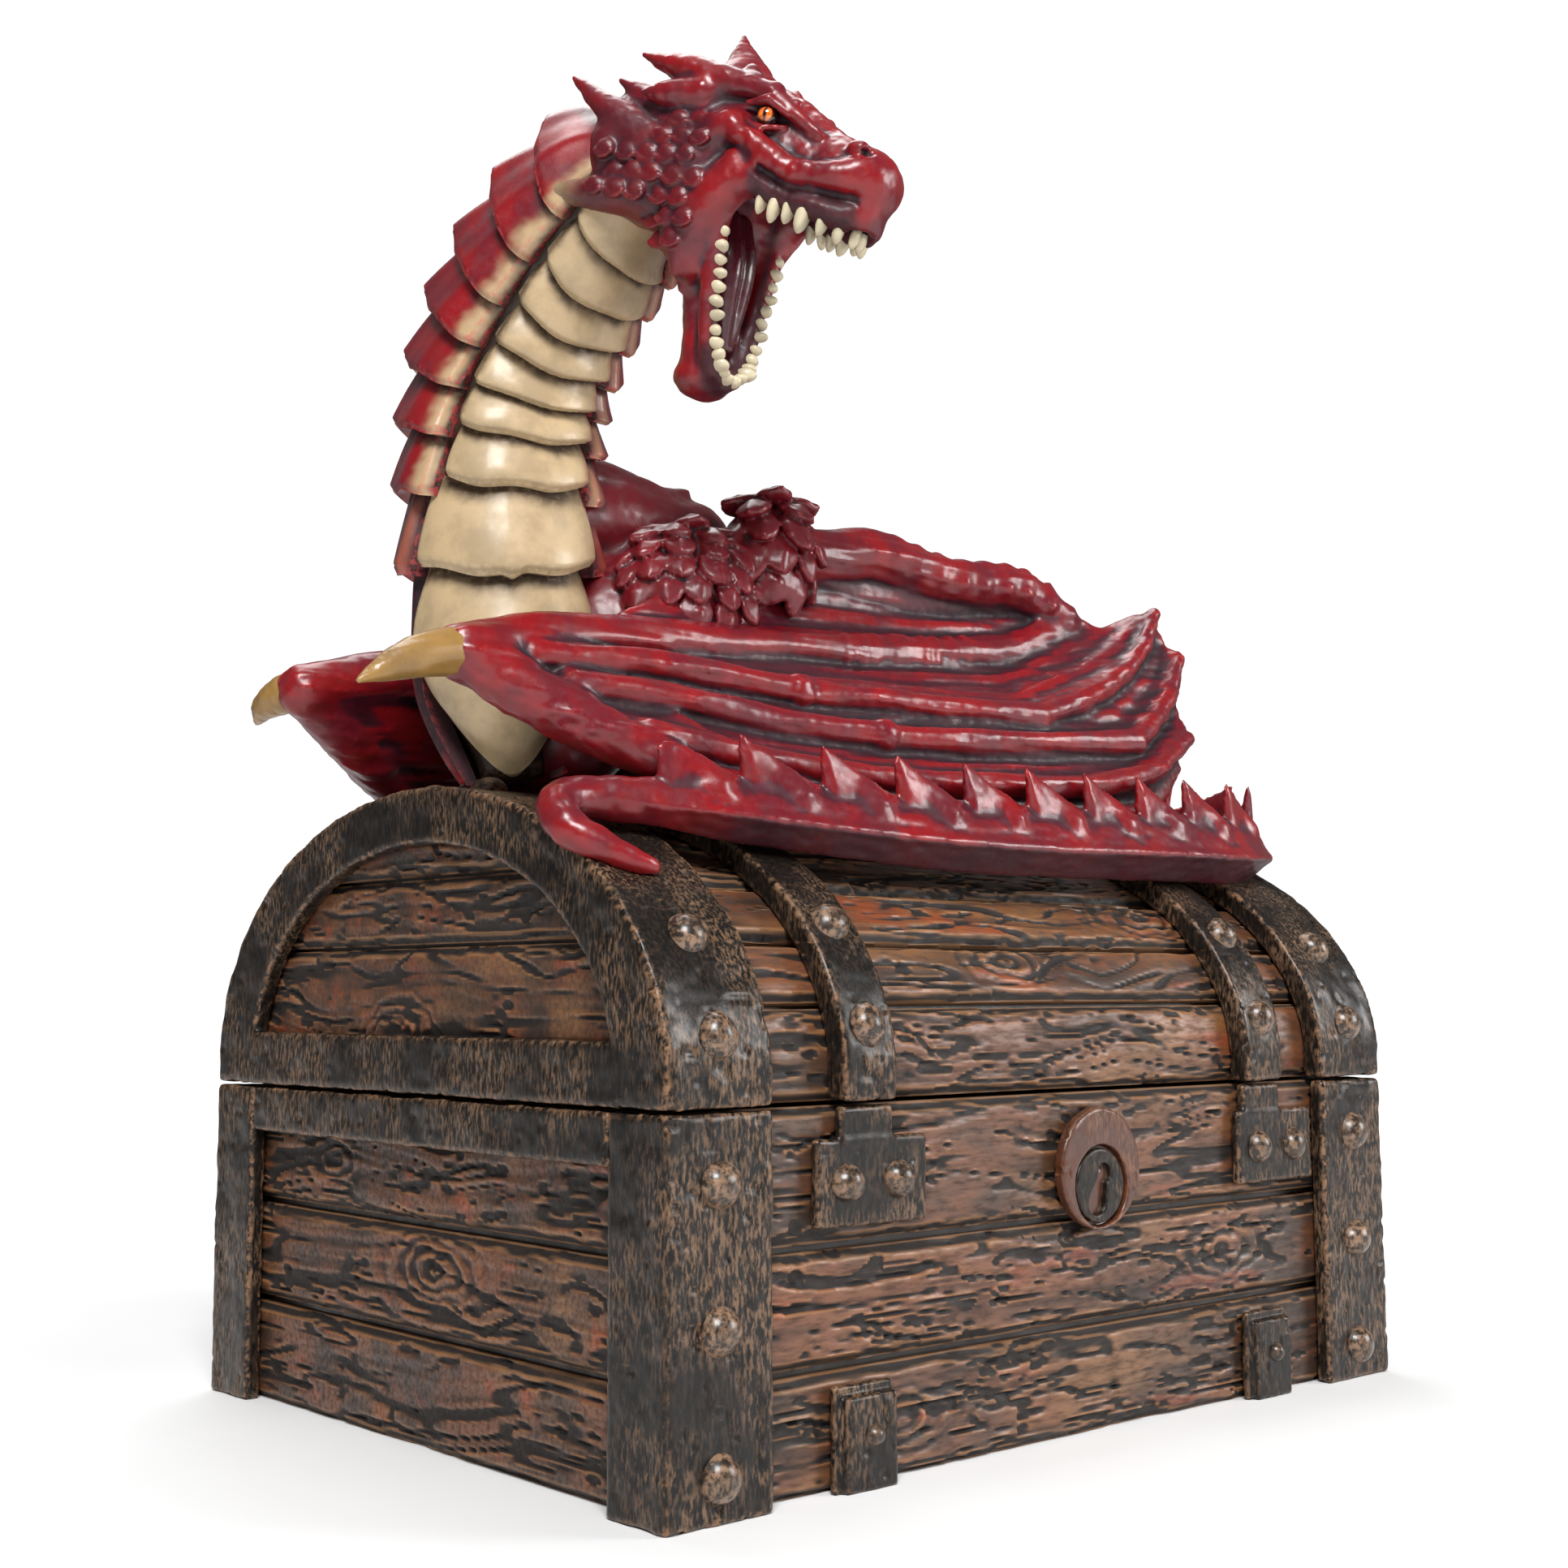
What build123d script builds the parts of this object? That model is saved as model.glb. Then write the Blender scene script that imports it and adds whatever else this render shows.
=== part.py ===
"""Bubbling aquarium ornament: an iron-bound treasure chest with a hinged lid and a red dragon lying on it.

Millimetres. +Z is up, +X runs along the chest's long side, and the keyhole front faces -Y.
The origin is the centre of the chest's footprint, on the face it stands on.
Air enters through a fitting in the back wall, feeds an air stone on the floor and lifts the lid.
"""

from build123d import *
import math
import os

# ---------------------------------------------------------------- driving dimensions
CHEST_LENGTH = 140.0
CHEST_DEPTH = 108.0
BASE_HEIGHT = 44.3
SEAM_GAP = 0.5
LID_SPRING_Z = 48.0  # the lid's sides are straight up to here, then the arch starts
LID_ARCH_RISE = 36.2
IRON = 2.2  # how far the base irons stand proud of the planks
LID_IRON = 3.0  # how far the lid irons stand proud of the staves
PLANK = 2.5
WALL = 3.0
FLOOR = 4.0
GROOVE = 0.6

POST_FRONT = 15.5  # corner iron's width on the long faces
POST_END = 11.0  # and on the end faces
END_RAIL = 6.2
BASE_GROOVES_Z = (13.9, 27.9)
LID_END_GROOVES_Z = (63.6, 72.6)
LID_STAVES = 12
STRAP_WIDTH = 8.7
STRAP_X = (-39.0, 40.4)
PLATE_X = (-38.0, 43.6)  # centres of the strap end plates on the base front
PLATE_SIZE = (18.3, 10.4)
PLATE_LOW_Z = 30.2
PLATE_THICK = 1.3
BRACKET_X = (-39.2, 40.8)
BRACKET_SIZE = (8.4, 11.0)
RIVET_R = 2.7
RIVET_RISE = 1.9
POST_RIVETS_Z = (5.0, 20.7, 36.6)
POST_RIVET_X = 62.3

LOCK_X, LOCK_Z = 3.7, 34.4
LOCK_R = 8.0
INSERT_R = 4.9
INSERT_DROP = 2.3
KEYHOLE_TILT = 24.0

HINGE_Y = CHEST_DEPTH / 2 + 2.6
HINGE_Z = BASE_HEIGHT + SEAM_GAP / 2
KNUCKLE_R = 2.1
KNUCKLE_LENGTH = 5.4
PIN_R = 1.0
PIN_CLEARANCE = 0.06
HINGE_OPEN_DEG = 35.0

AIR_X, AIR_Z = 0.0, 9.0
SPIGOT_R = 2.2
SPIGOT_LENGTH = 11.0
STONE_R = 7.0
STONE_LENGTH = 26.0
TUBE_WALL = 1.0
FLOOD_HOLE_R = 4.0

TEETH_CLEARANCE = 0.05

HALF_L = CHEST_LENGTH / 2
HALF_D = CHEST_DEPTH / 2
LID_BOTTOM = BASE_HEIGHT + SEAM_GAP
SKIN = 0.02  # gap kept between touching pieces of different nodes


# ---------------------------------------------------------------- helpers
def block(x0, x1, y0, y1, z0, z1):
    """A box from its low and high faces."""
    return Pos((x0 + x1) / 2, (y0 + y1) / 2, (z0 + z1) / 2) * Box(abs(x1 - x0), abs(y1 - y0), abs(z1 - z0))


def group(solids):
    """One node of several separate solids."""
    flat = []
    for s in solids:
        flat += list(s.solids())
    return Compound(children=[Solid(s.wrapped) for s in flat])


def arch_face(inset, low):
    """The lid's cross-section, drawn in the YZ plane: straight sides, then half an ellipse."""
    half, rise = HALF_D - inset, LID_ARCH_RISE - inset
    plane = Plane(origin=(0, 0, 0), x_dir=(0, 1, 0), z_dir=(1, 0, 0))
    ellipse = Pos(0, LID_SPRING_Z) * Ellipse(half, rise)
    upper = ellipse & (Pos(0, LID_SPRING_Z + rise) * Rectangle(4 * half, 2 * rise))
    sides = Pos(0, (LID_SPRING_Z + low) / 2) * Rectangle(2 * half, LID_SPRING_Z - low)
    return plane * (upper + sides)


def arch_solid(inset, low, x0, x1):
    """The lid's cross-section pushed from x0 to x1."""
    return Pos(x0, 0, 0) * extrude(arch_face(inset, low), x1 - x0, dir=(1, 0, 0))


def arch_point(inset, s):
    """A point (y, z) and outward angle on the arch at arc share s: 0 is the front spring line, 1 the back one."""
    a = math.pi * s
    half, rise = HALF_D - inset, LID_ARCH_RISE - inset
    y, z = -half * math.cos(a), LID_SPRING_Z + rise * math.sin(a)
    ny, nz = -math.cos(a) / half, math.sin(a) / rise
    return y, z, math.degrees(math.atan2(ny, nz))


def rivet(plane_origin, normal, r=RIVET_R, rise=RIVET_RISE):
    """A domed rivet head whose flat side lies on the given point."""
    big = (r * r + rise * rise) / (2 * rise)
    dome = Pos(0, 0, rise - big) * Sphere(big) & (Pos(0, 0, rise / 2) * Box(4 * r, 4 * r, rise))
    return Plane(origin=plane_origin, z_dir=normal) * dome


def sections_loft(points, radii, up=(0, 0, 1), flat=1.0):
    """A smooth limb through circles, or ellipses when flat isn't 1, set square to the path."""
    faces = []
    for i, p in enumerate(points):
        before = Vector(*points[max(i - 1, 0)])
        after = Vector(*points[min(i + 1, len(points) - 1)])
        along = (after - before).normalized()
        side = Vector(*up).cross(along).normalized()
        plane = Plane(origin=p, x_dir=side, z_dir=along)
        faces.append(plane * Ellipse(radii[i], radii[i] * flat))
    return loft(faces)


def spike(base, tip, r, r_tip=0.25):
    """A straight cone from base to tip."""
    a, b = Vector(*base), Vector(*tip)
    along = (b - a).normalized()
    height = (b - a).length
    return Plane(origin=a, z_dir=along) * (Pos(0, 0, height / 2) * Cone(r, r_tip, height))


# ---------------------------------------------------------------- chest base
def base_tub():
    """The cast inner box: floor and four walls, with two flood holes and a hole for the air fitting."""
    out_x, out_y = HALF_L - IRON - PLANK, HALF_D - IRON - PLANK
    tub = block(-out_x, out_x, -out_y, out_y, 0, BASE_HEIGHT)
    tub -= block(-out_x + WALL, out_x - WALL, -out_y + WALL, out_y - WALL, FLOOR, BASE_HEIGHT + 1)
    for side in (-1, 1):
        tub -= Pos(side * 45, 0, 0) * Cylinder(FLOOD_HOLE_R, 3 * FLOOR)
    return tub - air_hole()


def air_hole():
    """The passage for the air fitting through the back wall."""
    return Pos(AIR_X, HALF_D, AIR_Z) * (Rot(90, 0, 0) * Cylinder(3.6, 40))


def boards(x0, x1, y0, y1):
    """Three boards over one face of the base, with open grooves between them."""
    levels = [0.0] + list(BASE_GROOVES_Z) + [BASE_HEIGHT]
    made = []
    for low, high in zip(levels, levels[1:]):
        z0 = low + (GROOVE / 2 if low > 0 else 0)
        z1 = high - (GROOVE / 2 if high < BASE_HEIGHT else 0)
        made.append(block(x0, x1, y0, y1, z0, z1))
    return made


def base_planks(parts):
    """The boards on the four faces. The long faces' boards run past the ends' boards."""
    long_x = HALF_L - IRON
    outer, inner = HALF_D - IRON, HALF_D - IRON - PLANK
    parts["front_planks"] = group(boards(-long_x, long_x, -outer, -inner))
    parts["back_planks"] = group([b - air_hole() for b in boards(-long_x, long_x, inner, outer)])
    for name, side in (("left", -1), ("right", 1)):
        x = sorted((side * (HALF_L - IRON), side * (HALF_L - IRON - PLANK)))
        parts[f"{name}_end_planks"] = group(boards(x[0], x[1], -inner, inner))


def base_irons(parts):
    """Four angle-iron corner posts and the rail across the top of each end."""
    for y_name, sy in (("front", -1), ("back", 1)):
        for x_name, sx in (("left", -1), ("right", 1)):
            x0, y0 = sx * HALF_L, sy * HALF_D
            face = block(x0, x0 - sx * POST_FRONT, y0, y0 - sy * IRON, 0, BASE_HEIGHT)
            end = block(x0, x0 - sx * IRON, y0, y0 - sy * POST_END, 0, BASE_HEIGHT)
            post = face + end
            inner_corner = (x0 - sx * IRON, y0 - sy * IRON)
            uprights = [e for e in post.edges().filter_by(Axis.Z) if not on_corner(e, inner_corner)]
            parts[f"corner_iron_{y_name}_{x_name}"] = chamfer(uprights, 0.35)
    for name, side in (("left", -1), ("right", 1)):
        y = HALF_D - POST_END
        rail = block(side * HALF_L, side * (HALF_L - IRON), -y, y, BASE_HEIGHT - END_RAIL, BASE_HEIGHT)
        parts[f"base_end_rail_{name}"] = rail


def on_corner(edge, corner):
    """Whether an upright edge stands on the given (x, y)."""
    middle = edge.center()
    return math.hypot(middle.X - corner[0], middle.Y - corner[1]) < 0.1


def front_plates(parts):
    """The T-shaped ends of the lid straps, and the stepped brackets at the bottom edge."""
    y0 = -(HALF_D - IRON)
    for name, x, strap in zip(("left", "right"), PLATE_X, STRAP_X):
        leaf = block(x - PLATE_SIZE[0] / 2, x + PLATE_SIZE[0] / 2, y0, y0 - PLATE_THICK,
                     PLATE_LOW_Z, PLATE_LOW_Z + PLATE_SIZE[1])
        stem = block(strap - STRAP_WIDTH / 2, strap + STRAP_WIDTH / 2, y0, y0 - PLATE_THICK,
                     PLATE_LOW_Z + PLATE_SIZE[1] - 1, BASE_HEIGHT)
        plate = leaf + stem
        if name == "right":  # the right leaf stops at the corner iron
            plate -= block(HALF_L - POST_FRONT - SKIN, HALF_L, -HALF_D, y0, 0, BASE_HEIGHT)
        parts[f"front_plate_{name}"] = plate
    for name, x in zip(("left", "right"), BRACKET_X):
        w, h = BRACKET_SIZE
        low = block(x - w / 2 - 0.9, x + w / 2, y0, y0 - 1.0, 0, h + 1.2)
        top = block(x - w / 2, x + w / 2, y0 - 1.0, y0 - 2.1, 0, h)
        parts[f"bottom_bracket_{name}"] = low + top


def lock(parts):
    """The round escutcheon and the keyhole insert set low in it."""
    y_face = -(HALF_D - IRON)
    disc = Rot(90, 0, 0) * Cylinder(LOCK_R, 1.7, align=(Align.CENTER, Align.CENTER, Align.MIN))
    disc = Pos(LOCK_X, y_face, LOCK_Z) * disc
    recess = Rot(90, 0, 0) * Cylinder(INSERT_R + 0.25, 4)
    z_insert = LOCK_Z - INSERT_DROP
    disc -= Pos(LOCK_X, y_face - 1.7, z_insert) * recess
    parts["lock_escutcheon"] = disc
    insert = Rot(90, 0, 0) * Cylinder(INSERT_R, 1.5, align=(Align.CENTER, Align.CENTER, Align.MIN))
    slot = Pos(0, 1.5) * Circle(1.35) + Pos(0, -1.2) * Trapezoid(2.4, 4.6, 84)
    cut = extrude(Rot(0, 0, -KEYHOLE_TILT) * slot, 6, both=True)
    insert -= Rot(90, 0, 0) * cut
    parts["keyhole_insert"] = Pos(LOCK_X, y_face, z_insert) * insert


def base_rivets():
    """Rivet heads on the posts, plates and brackets."""
    made = []
    for sy in (-1, 1):
        for sx in (-1, 1):
            made += [rivet((sx * POST_RIVET_X, sy * HALF_D, z), (0, sy, 0)) for z in POST_RIVETS_Z]
    y_plate = -(HALF_D - IRON) - PLATE_THICK
    for x in PLATE_X:
        made += [rivet((x + dx, y_plate, 35.4), (0, -1, 0), 2.3, 1.7) for dx in (-4.3, 4.3)]
    y_bracket = -(HALF_D - IRON) - 2.1
    made += [rivet((x + 0.3, y_bracket, 6.3), (0, -1, 0), 1.3, 1.1) for x in BRACKET_X]
    return group(made)


# ---------------------------------------------------------------- lid
STAVE_X = HALF_L - IRON  # the staves and end boards reach out to here
BAND_INSET = LID_IRON
STAVE_INSET = LID_IRON + PLANK
SHELL_X = STAVE_X - PLANK


def lid_shell():
    """The cast vault that traps the air, open at the bottom."""
    outer = arch_solid(STAVE_INSET + SKIN, LID_BOTTOM, -SHELL_X, SHELL_X)
    hollow = arch_solid(STAVE_INSET + WALL, LID_BOTTOM - 1, -SHELL_X + WALL, SHELL_X - WALL)
    return outer - hollow


def lid_planks():
    """Curved staves along the lid, parted by narrow grooves that point at the chest's axis."""
    ring = arch_solid(BAND_INSET, LID_BOTTOM, -STAVE_X, STAVE_X)
    ring -= arch_solid(STAVE_INSET, LID_BOTTOM - 1, -STAVE_X - 1, STAVE_X + 1)
    for i in range(1, LID_STAVES):
        y, z, angle = arch_point(BAND_INSET, i / LID_STAVES)
        cutter = Box(4 * HALF_L, GROOVE, 4 * PLANK)
        ring -= Pos(0, y, z) * (Rot(-angle, 0, 0) * cutter)
    return group([ring])


def lid_end_planks(side):
    """Three boards in the arched end of the lid."""
    x0, x1 = sorted((side * STAVE_X, side * SHELL_X))
    face = arch_solid(STAVE_INSET + SKIN, LID_BOTTOM, x0 + SKIN, x1 - SKIN)
    for z in LID_END_GROOVES_Z:
        face -= block(x0 - 1, x1 + 1, -HALF_D, HALF_D, z - GROOVE / 2, z + GROOVE / 2)
    return group([face])


def lid_end_iron(side):
    """The angle iron round one end of the lid: a band over the staves, an arched frame and a sill."""
    x_end, x_face, x_band = side * HALF_L, side * STAVE_X, side * (HALF_L - POST_FRONT)
    x0, x1 = sorted((x_end, x_face))
    frame = arch_solid(0, LID_BOTTOM, x0, x1)
    plane = Plane(origin=(0, 0, 0), x_dir=(0, 1, 0), z_dir=(1, 0, 0))
    opening = Pos(0, LID_SPRING_Z) * Ellipse(HALF_D - POST_END + 0.4, LID_ARCH_RISE - 7.0)
    opening = opening & (Pos(0, LID_BOTTOM + 7.4 + 50) * Rectangle(200, 100))
    frame -= Pos(x0 - 1, 0, 0) * extrude(plane * opening, abs(x1 - x0) + 2, dir=(1, 0, 0))
    b0, b1 = sorted((x_end, x_band))
    band = arch_solid(0, LID_BOTTOM, b0, b1) - arch_solid(BAND_INSET, LID_BOTTOM - 1, b0 - 1, b1 + 1)
    return frame + band


def strap_band(x, width):
    """One iron strap over the lid, front to back."""
    outer = arch_solid(0, LID_BOTTOM, x - width / 2, x + width / 2)
    return outer - arch_solid(BAND_INSET, LID_BOTTOM - 1, x - width, x + width)


# How far round the arch each rivet stands, as a share, from the front to the back. The dragon covers the rest.
LID_RIVETS = [
    (-POST_RIVET_X, (0.044, 0.151, 0.359, 0.461, 0.539, 0.641, 0.746, 0.849, 0.956)),
    (POST_RIVET_X, (0.044, 0.151, 0.641, 0.746, 0.849, 0.956)),
    (STRAP_X[0], (0.053, 0.169, 0.363, 0.449, 0.551, 0.637, 0.73, 0.831, 0.947)),
    (STRAP_X[1], (0.053, 0.169, 0.363, 0.637, 0.73, 0.831, 0.947)),
]


def lid_rivets():
    """Rivet heads along the end bands and straps."""
    return group([arch_rivet(x, s) for x, shares in LID_RIVETS for s in shares])


def arch_rivet(x, s):
    """A rivet standing on the outer arch at arc share s."""
    y, z, angle = arch_point(0, s)
    normal = (0, math.sin(math.radians(angle)), math.cos(math.radians(angle)))
    sunk = 0.12  # the head's flat side would otherwise rock on the curve
    origin = (x, y - sunk * normal[1], z - sunk * normal[2])
    return rivet(origin, normal) - arch_solid(0, LID_BOTTOM, x - 4, x + 4)


# ---------------------------------------------------------------- hinges
def knuckle(x0, x1):
    """A hinge barrel from x0 to x1."""
    barrel = Rot(0, 90, 0) * Cylinder(KNUCKLE_R, x1 - x0)
    bore = Rot(0, 90, 0) * Cylinder(PIN_R + PIN_CLEARANCE, x1 - x0 + 2)
    return Pos((x0 + x1) / 2, HINGE_Y, HINGE_Z) * (barrel - bore)


def pin_space(x):
    """The pin's running space along one hinge."""
    return Pos(x, HINGE_Y, HINGE_Z) * (Rot(0, 90, 0) * Cylinder(PIN_R + PIN_CLEARANCE, 40))


def hinge_base_leaf(x):
    """The leaf on the base's back: a plate with two outer barrels."""
    y0 = HALF_D - IRON
    leaf = block(x - PLATE_SIZE[0] / 2, x + PLATE_SIZE[0] / 2, y0 + SKIN, HALF_D, 28.0, 41.0)
    half = KNUCKLE_LENGTH / 2 + 0.15
    made = leaf
    for side in (-1, 1):
        a, b = sorted((x + side * half, x + side * (half + KNUCKLE_LENGTH)))
        arm = block(a, b, y0 + SKIN, HALF_D, 40.5, HINGE_Z - 1.2)
        web = block(a, b, HALF_D - 0.1, HINGE_Y + 0.8, HINGE_Z - 3.2, HINGE_Z - 1.2)
        made += arm + web + knuckle(a, b)
    return made - pin_space(x)


def hinge_lid_leaf(x):
    """The lid's barrel, its arm on the strap, and the heel that stops the lid at its open limit."""
    half = KNUCKLE_LENGTH / 2
    low = HINGE_Z + 1.2
    arm = block(x - half, x + half, HALF_D + SKIN, HINGE_Y + 0.8, low, low + 2.4)
    pad_low = HINGE_Z + KNUCKLE_R + 0.15
    pad = block(x - half - 1.2, x + half + 1.2, HALF_D + SKIN, HALF_D + 1.2, pad_low, LID_SPRING_Z)
    heel_length = 4.6
    heel = Pos(0, -1.7, -heel_length / 2 - 1.2) * Box(KNUCKLE_LENGTH, 1.6, heel_length)
    lean = HINGE_OPEN_DEG + 0.5
    heel = Pos(x, HINGE_Y, HINGE_Z) * (Rot(lean, 0, 0) * heel)
    return arm + pad + knuckle(x - half, x + half) + heel - pin_space(x)


def hinge_pins():
    """A steel pin in each hinge."""
    length = 3 * KNUCKLE_LENGTH + 0.3
    return group([Pos(x, HINGE_Y, HINGE_Z) * (Rot(0, 90, 0) * Cylinder(PIN_R, length)) for x in STRAP_X])


# ---------------------------------------------------------------- air line
def along_y(r, y0, y1, x=AIR_X, z=AIR_Z):
    """A cylinder lying along Y."""
    return Pos(x, (y0 + y1) / 2, z) * (Rot(90, 0, 0) * Cylinder(r, abs(y1 - y0)))


def air_line(parts):
    """The bulkhead fitting, its gasket and nut, the hose, the stone and the clips that hold it."""
    y_out = HALF_D - IRON
    y_in = HALF_D - IRON - PLANK - WALL
    gasket = 0.8
    body = along_y(3.5, y_in - 5.0, y_out + gasket) + along_y(5.2, y_out + gasket, y_out + gasket + 1.6)
    y_spigot = y_out + gasket + 1.6
    body += along_y(SPIGOT_R, y_spigot, y_spigot + SPIGOT_LENGTH)
    body += along_y(SPIGOT_R, y_in - 12.0, y_in - 5.0)
    body -= along_y(1.1, y_in - 13.0, y_spigot + SPIGOT_LENGTH + 1)
    parts["air_inlet"] = body
    parts["inlet_gasket"] = along_y(5.4, y_out, y_out + gasket) - along_y(3.52, y_out - 1, y_out + 2)
    nut = Pos(AIR_X, y_in, AIR_Z) * (Rot(90, 0, 0) * extrude(RegularPolygon(5.6, 6), 3.0))
    parts["inlet_nut"] = nut - along_y(3.52, y_in - 9, y_in + 1)

    stone_y = 8.0
    stone_z = FLOOR + STONE_R + 1.6
    stone = Pos(AIR_X, stone_y, stone_z) * (Rot(90, 0, 0) * Cylinder(STONE_R, STONE_LENGTH))
    stone = fillet(stone.edges(), 1.2)
    y_back = stone_y + STONE_LENGTH / 2
    nipple = along_y(SPIGOT_R, y_back, y_back + 6.0, AIR_X, stone_z)
    parts["air_stone"] = stone + nipple - along_y(1.1, y_back - 4, y_back + 7, AIR_X, stone_z)

    hose_start = (AIR_X, y_in - 5.4, AIR_Z)
    hose_end = (AIR_X, y_back + 0.6, stone_z)
    path = Spline(hose_start, hose_end, tangents=[(0, -1, 0), (0, -1, 0)])
    ring = Circle(SPIGOT_R + SKIN + TUBE_WALL) - Circle(SPIGOT_R + SKIN)
    profile = Plane(origin=hose_start, x_dir=(1, 0, 0), z_dir=(0, -1, 0)) * ring
    hose = sweep(profile, path=path)
    parts["air_hose"] = hose - parts["air_inlet"] - parts["air_stone"]

    clips = []
    for y in (stone_y - 8.0, stone_y + 8.0):
        ring = along_y(STONE_R + 1.5, y - 2, y + 2, AIR_X, stone_z)
        ring -= along_y(STONE_R + SKIN, y - 3, y + 3, AIR_X, stone_z)
        ring -= block(-20, 20, y - 3, y + 3, stone_z + STONE_R * 0.55, stone_z + 20)
        foot = block(-6.5, 6.5, y - 2, y + 2, FLOOR, stone_z - STONE_R + 0.2)
        foot -= along_y(STONE_R + SKIN, y - 3, y + 3, AIR_X, stone_z)
        clips.append(ring + foot)
    parts["stone_clips"] = group(clips)


# ---------------------------------------------------------------- dragon
NECK_PATH = [
    (-54.0, 0.5, 87.5), (-54.2, 2.5, 99.0), (-54.6, 3.2, 111.0), (-55.2, 3.0, 122.0), (-55.4, 2.6, 132.0),
    (-55.2, 0.8, 141.0), (-54.6, -3.6, 149.4), (-53.6, -10.2, 156.8), (-52.0, -17.8, 162.4), (-50.0, -25.2, 165.6),
]
NECK_R = [10.6, 11.6, 12.2, 12.4, 12.6, 12.6, 12.6, 12.4, 12.2, 11.6]
BELLY_TURN_DEG = (228.5, 228.5, 229, 231, 236, 243, 251, 259, 266, 272)  # belly's heading at each path point

HEAD_AT = (-46.6, -35.4, 158.2)  # middle of the jaw hinge
HEAD_FORWARD = (0.284, -0.959)
HEAD_PITCH_DEG = 15.0

TORSO_PATH = [(-57, 0, 92), (-49, 0, 98), (-40, 0, 105), (-28, 0, 108), (-12, 0, 106), (8, 0, 102), (28, 0, 98), (46, 2, 93.5), (58, 5, 90)]
TORSO_R = [6.6, 9.5, 12.5, 14.0, 14.0, 12.5, 10.5, 7.5, 6.0]
TAIL_PATH = [
    (58.5, 5.2, 89.9), (68, 3, 87.5), (74.5, -6, 84.5), (75, -18, 82.5), (68.5, -28.5, 80.5), (55, -35, 79.0),
    (36, -38, 78.2), (12, -39, 77.6), (-12, -38.4, 77.6), (-34, -36.6, 78.8), (-52, -33.5, 80.4), (-64, -31.4, 81.2),
]
TAIL_R = [5.9, 5.6, 5.3, 5.0, 4.8, 4.6, 4.4, 4.1, 3.8, 3.5, 3.1, 2.8]
CURL_PATH = [(-64.0, -31.4, 81.2), (-70.6, -31.6, 80.9), (-74.4, -35.0, 78.4), (-73.6, -40.4, 75.4)]
CURL_R = 2.5
CURL_TIP = (-66.0, -45.4, 71.6)

# Left wing: the wrist is the claw joint, and the fingers sweep back from it.
WRIST = (-75.0, -20.0, 99.6)
ELBOW = (38.0, -18.5, 119.0)
SHOULDER = (-15.0, -9.0, 121.5)
CLAW_TIP = (-91.0, -22.0, 93.6)
FINGERS = [
    [(-58, -22.2, 100.8), (-44, -23.2, 101.0), (-26, -24.8, 99.6), (-4, -27.8, 99.0), (18, -30.2, 99.2), (32, -30.2, 104), (45, -28.4, 111.5), (53.5, -26.0, 118.6)],
    [(-60, -24.0, 97.0), (-46, -25.4, 95.6), (-30, -27.2, 94.4), (-14, -29.6, 93.4), (12, -33.0, 94.0), (36, -33.8, 96.2), (49, -31.8, 103.6), (55.5, -29.6, 111.2)],
    [(-52, -28.4, 91.8), (-44, -30.0, 89.8), (-30, -32.2, 87.8), (-16, -34.4, 86.6), (4, -36.6, 87.0), (20, -37.2, 87.8), (38, -36.6, 91.0), (50, -34.0, 97.2)],
]
FINGER_R = [1.5, 1.6, 1.5, 1.4, 1.4, 1.2, 1.0, 0.6]
LEADING_FINGER = [(-75.0, -20.4, 99.0), (-68, -23.4, 94.8), (-60, -27.6, 90.0), (-52.5, -32.0, 86.2)]
MEMBRANE_RIBS = [  # outer edge of each cross-section, top to bottom, at its station along X
    (-72, [(-19.6, 101.0), (-20.6, 99.2), (-21.6, 97.4), (-22.4, 95.8)]),
    (-52, [(-19.4, 104.6), (-22.4, 100.0), (-25.4, 95.4), (-29.6, 90.6)]),
    (-26, [(-16.0, 109.4), (-23.6, 100.6), (-28.2, 93.6), (-33.0, 86.6)]),
    (0, [(-11.6, 120.4), (-24.4, 102.6), (-31.0, 94.0), (-36.2, 85.8)]),
    (22, [(-14.0, 119.6), (-26.0, 104.4), (-32.6, 95.2), (-37.2, 86.6)]),
    (40, [(-17.8, 117.4), (-26.6, 108.8), (-32.0, 100.2), (-35.4, 91.2)]),
    (53, [(-24.8, 117.0), (-27.4, 112.4), (-29.8, 107.4), (-31.8, 101.8)]),
]
MEMBRANE_THICK = 2.0


def neck_frame(i):
    """The plane square to the neck at path point i, with its local -Y towards the belly."""
    before = Vector(*NECK_PATH[max(i - 1, 0)])
    after = Vector(*NECK_PATH[min(i + 1, len(NECK_PATH) - 1)])
    along = (after - before).normalized()
    turn = math.radians(BELLY_TURN_DEG[i])
    belly = Vector(math.cos(turn), math.sin(turn), 0)
    side = along.cross(belly).normalized()
    return Plane(origin=NECK_PATH[i], x_dir=side, z_dir=along)


def neck(parts):
    """The neck's core, and the overlapping scutes round it: cream ones on the belly, red ones on the back."""
    core_share = 0.66
    faces = [neck_frame(i) * Ellipse(r * core_share, r * core_share) for i, r in enumerate(NECK_R)]
    parts["neck_core"] = loft(faces)
    solid_core = parts["neck_core"]
    belly, back = [], []
    for i in range(len(NECK_PATH) - 1):
        low, high = neck_frame(i), neck_frame(i + 1)
        flare, tuck = NECK_R[i] * 1.06, NECK_R[i + 1] * 0.93
        ring = loft([low * Circle(flare), high * Circle(tuck)]) - solid_core
        cut = Plane(origin=low.origin, x_dir=low.x_dir, z_dir=low.y_dir)
        cut = cut.offset(-NECK_R[i] * 0.28 if low.y_dir.dot(belly_heading(i)) < 0 else NECK_R[i] * 0.28)
        front, rear = split_at(ring, cut, belly_heading(i))
        belly += front
        back += rear
    parts["belly_scutes"] = group(belly)
    parts["back_scutes"] = group(back)


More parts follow.
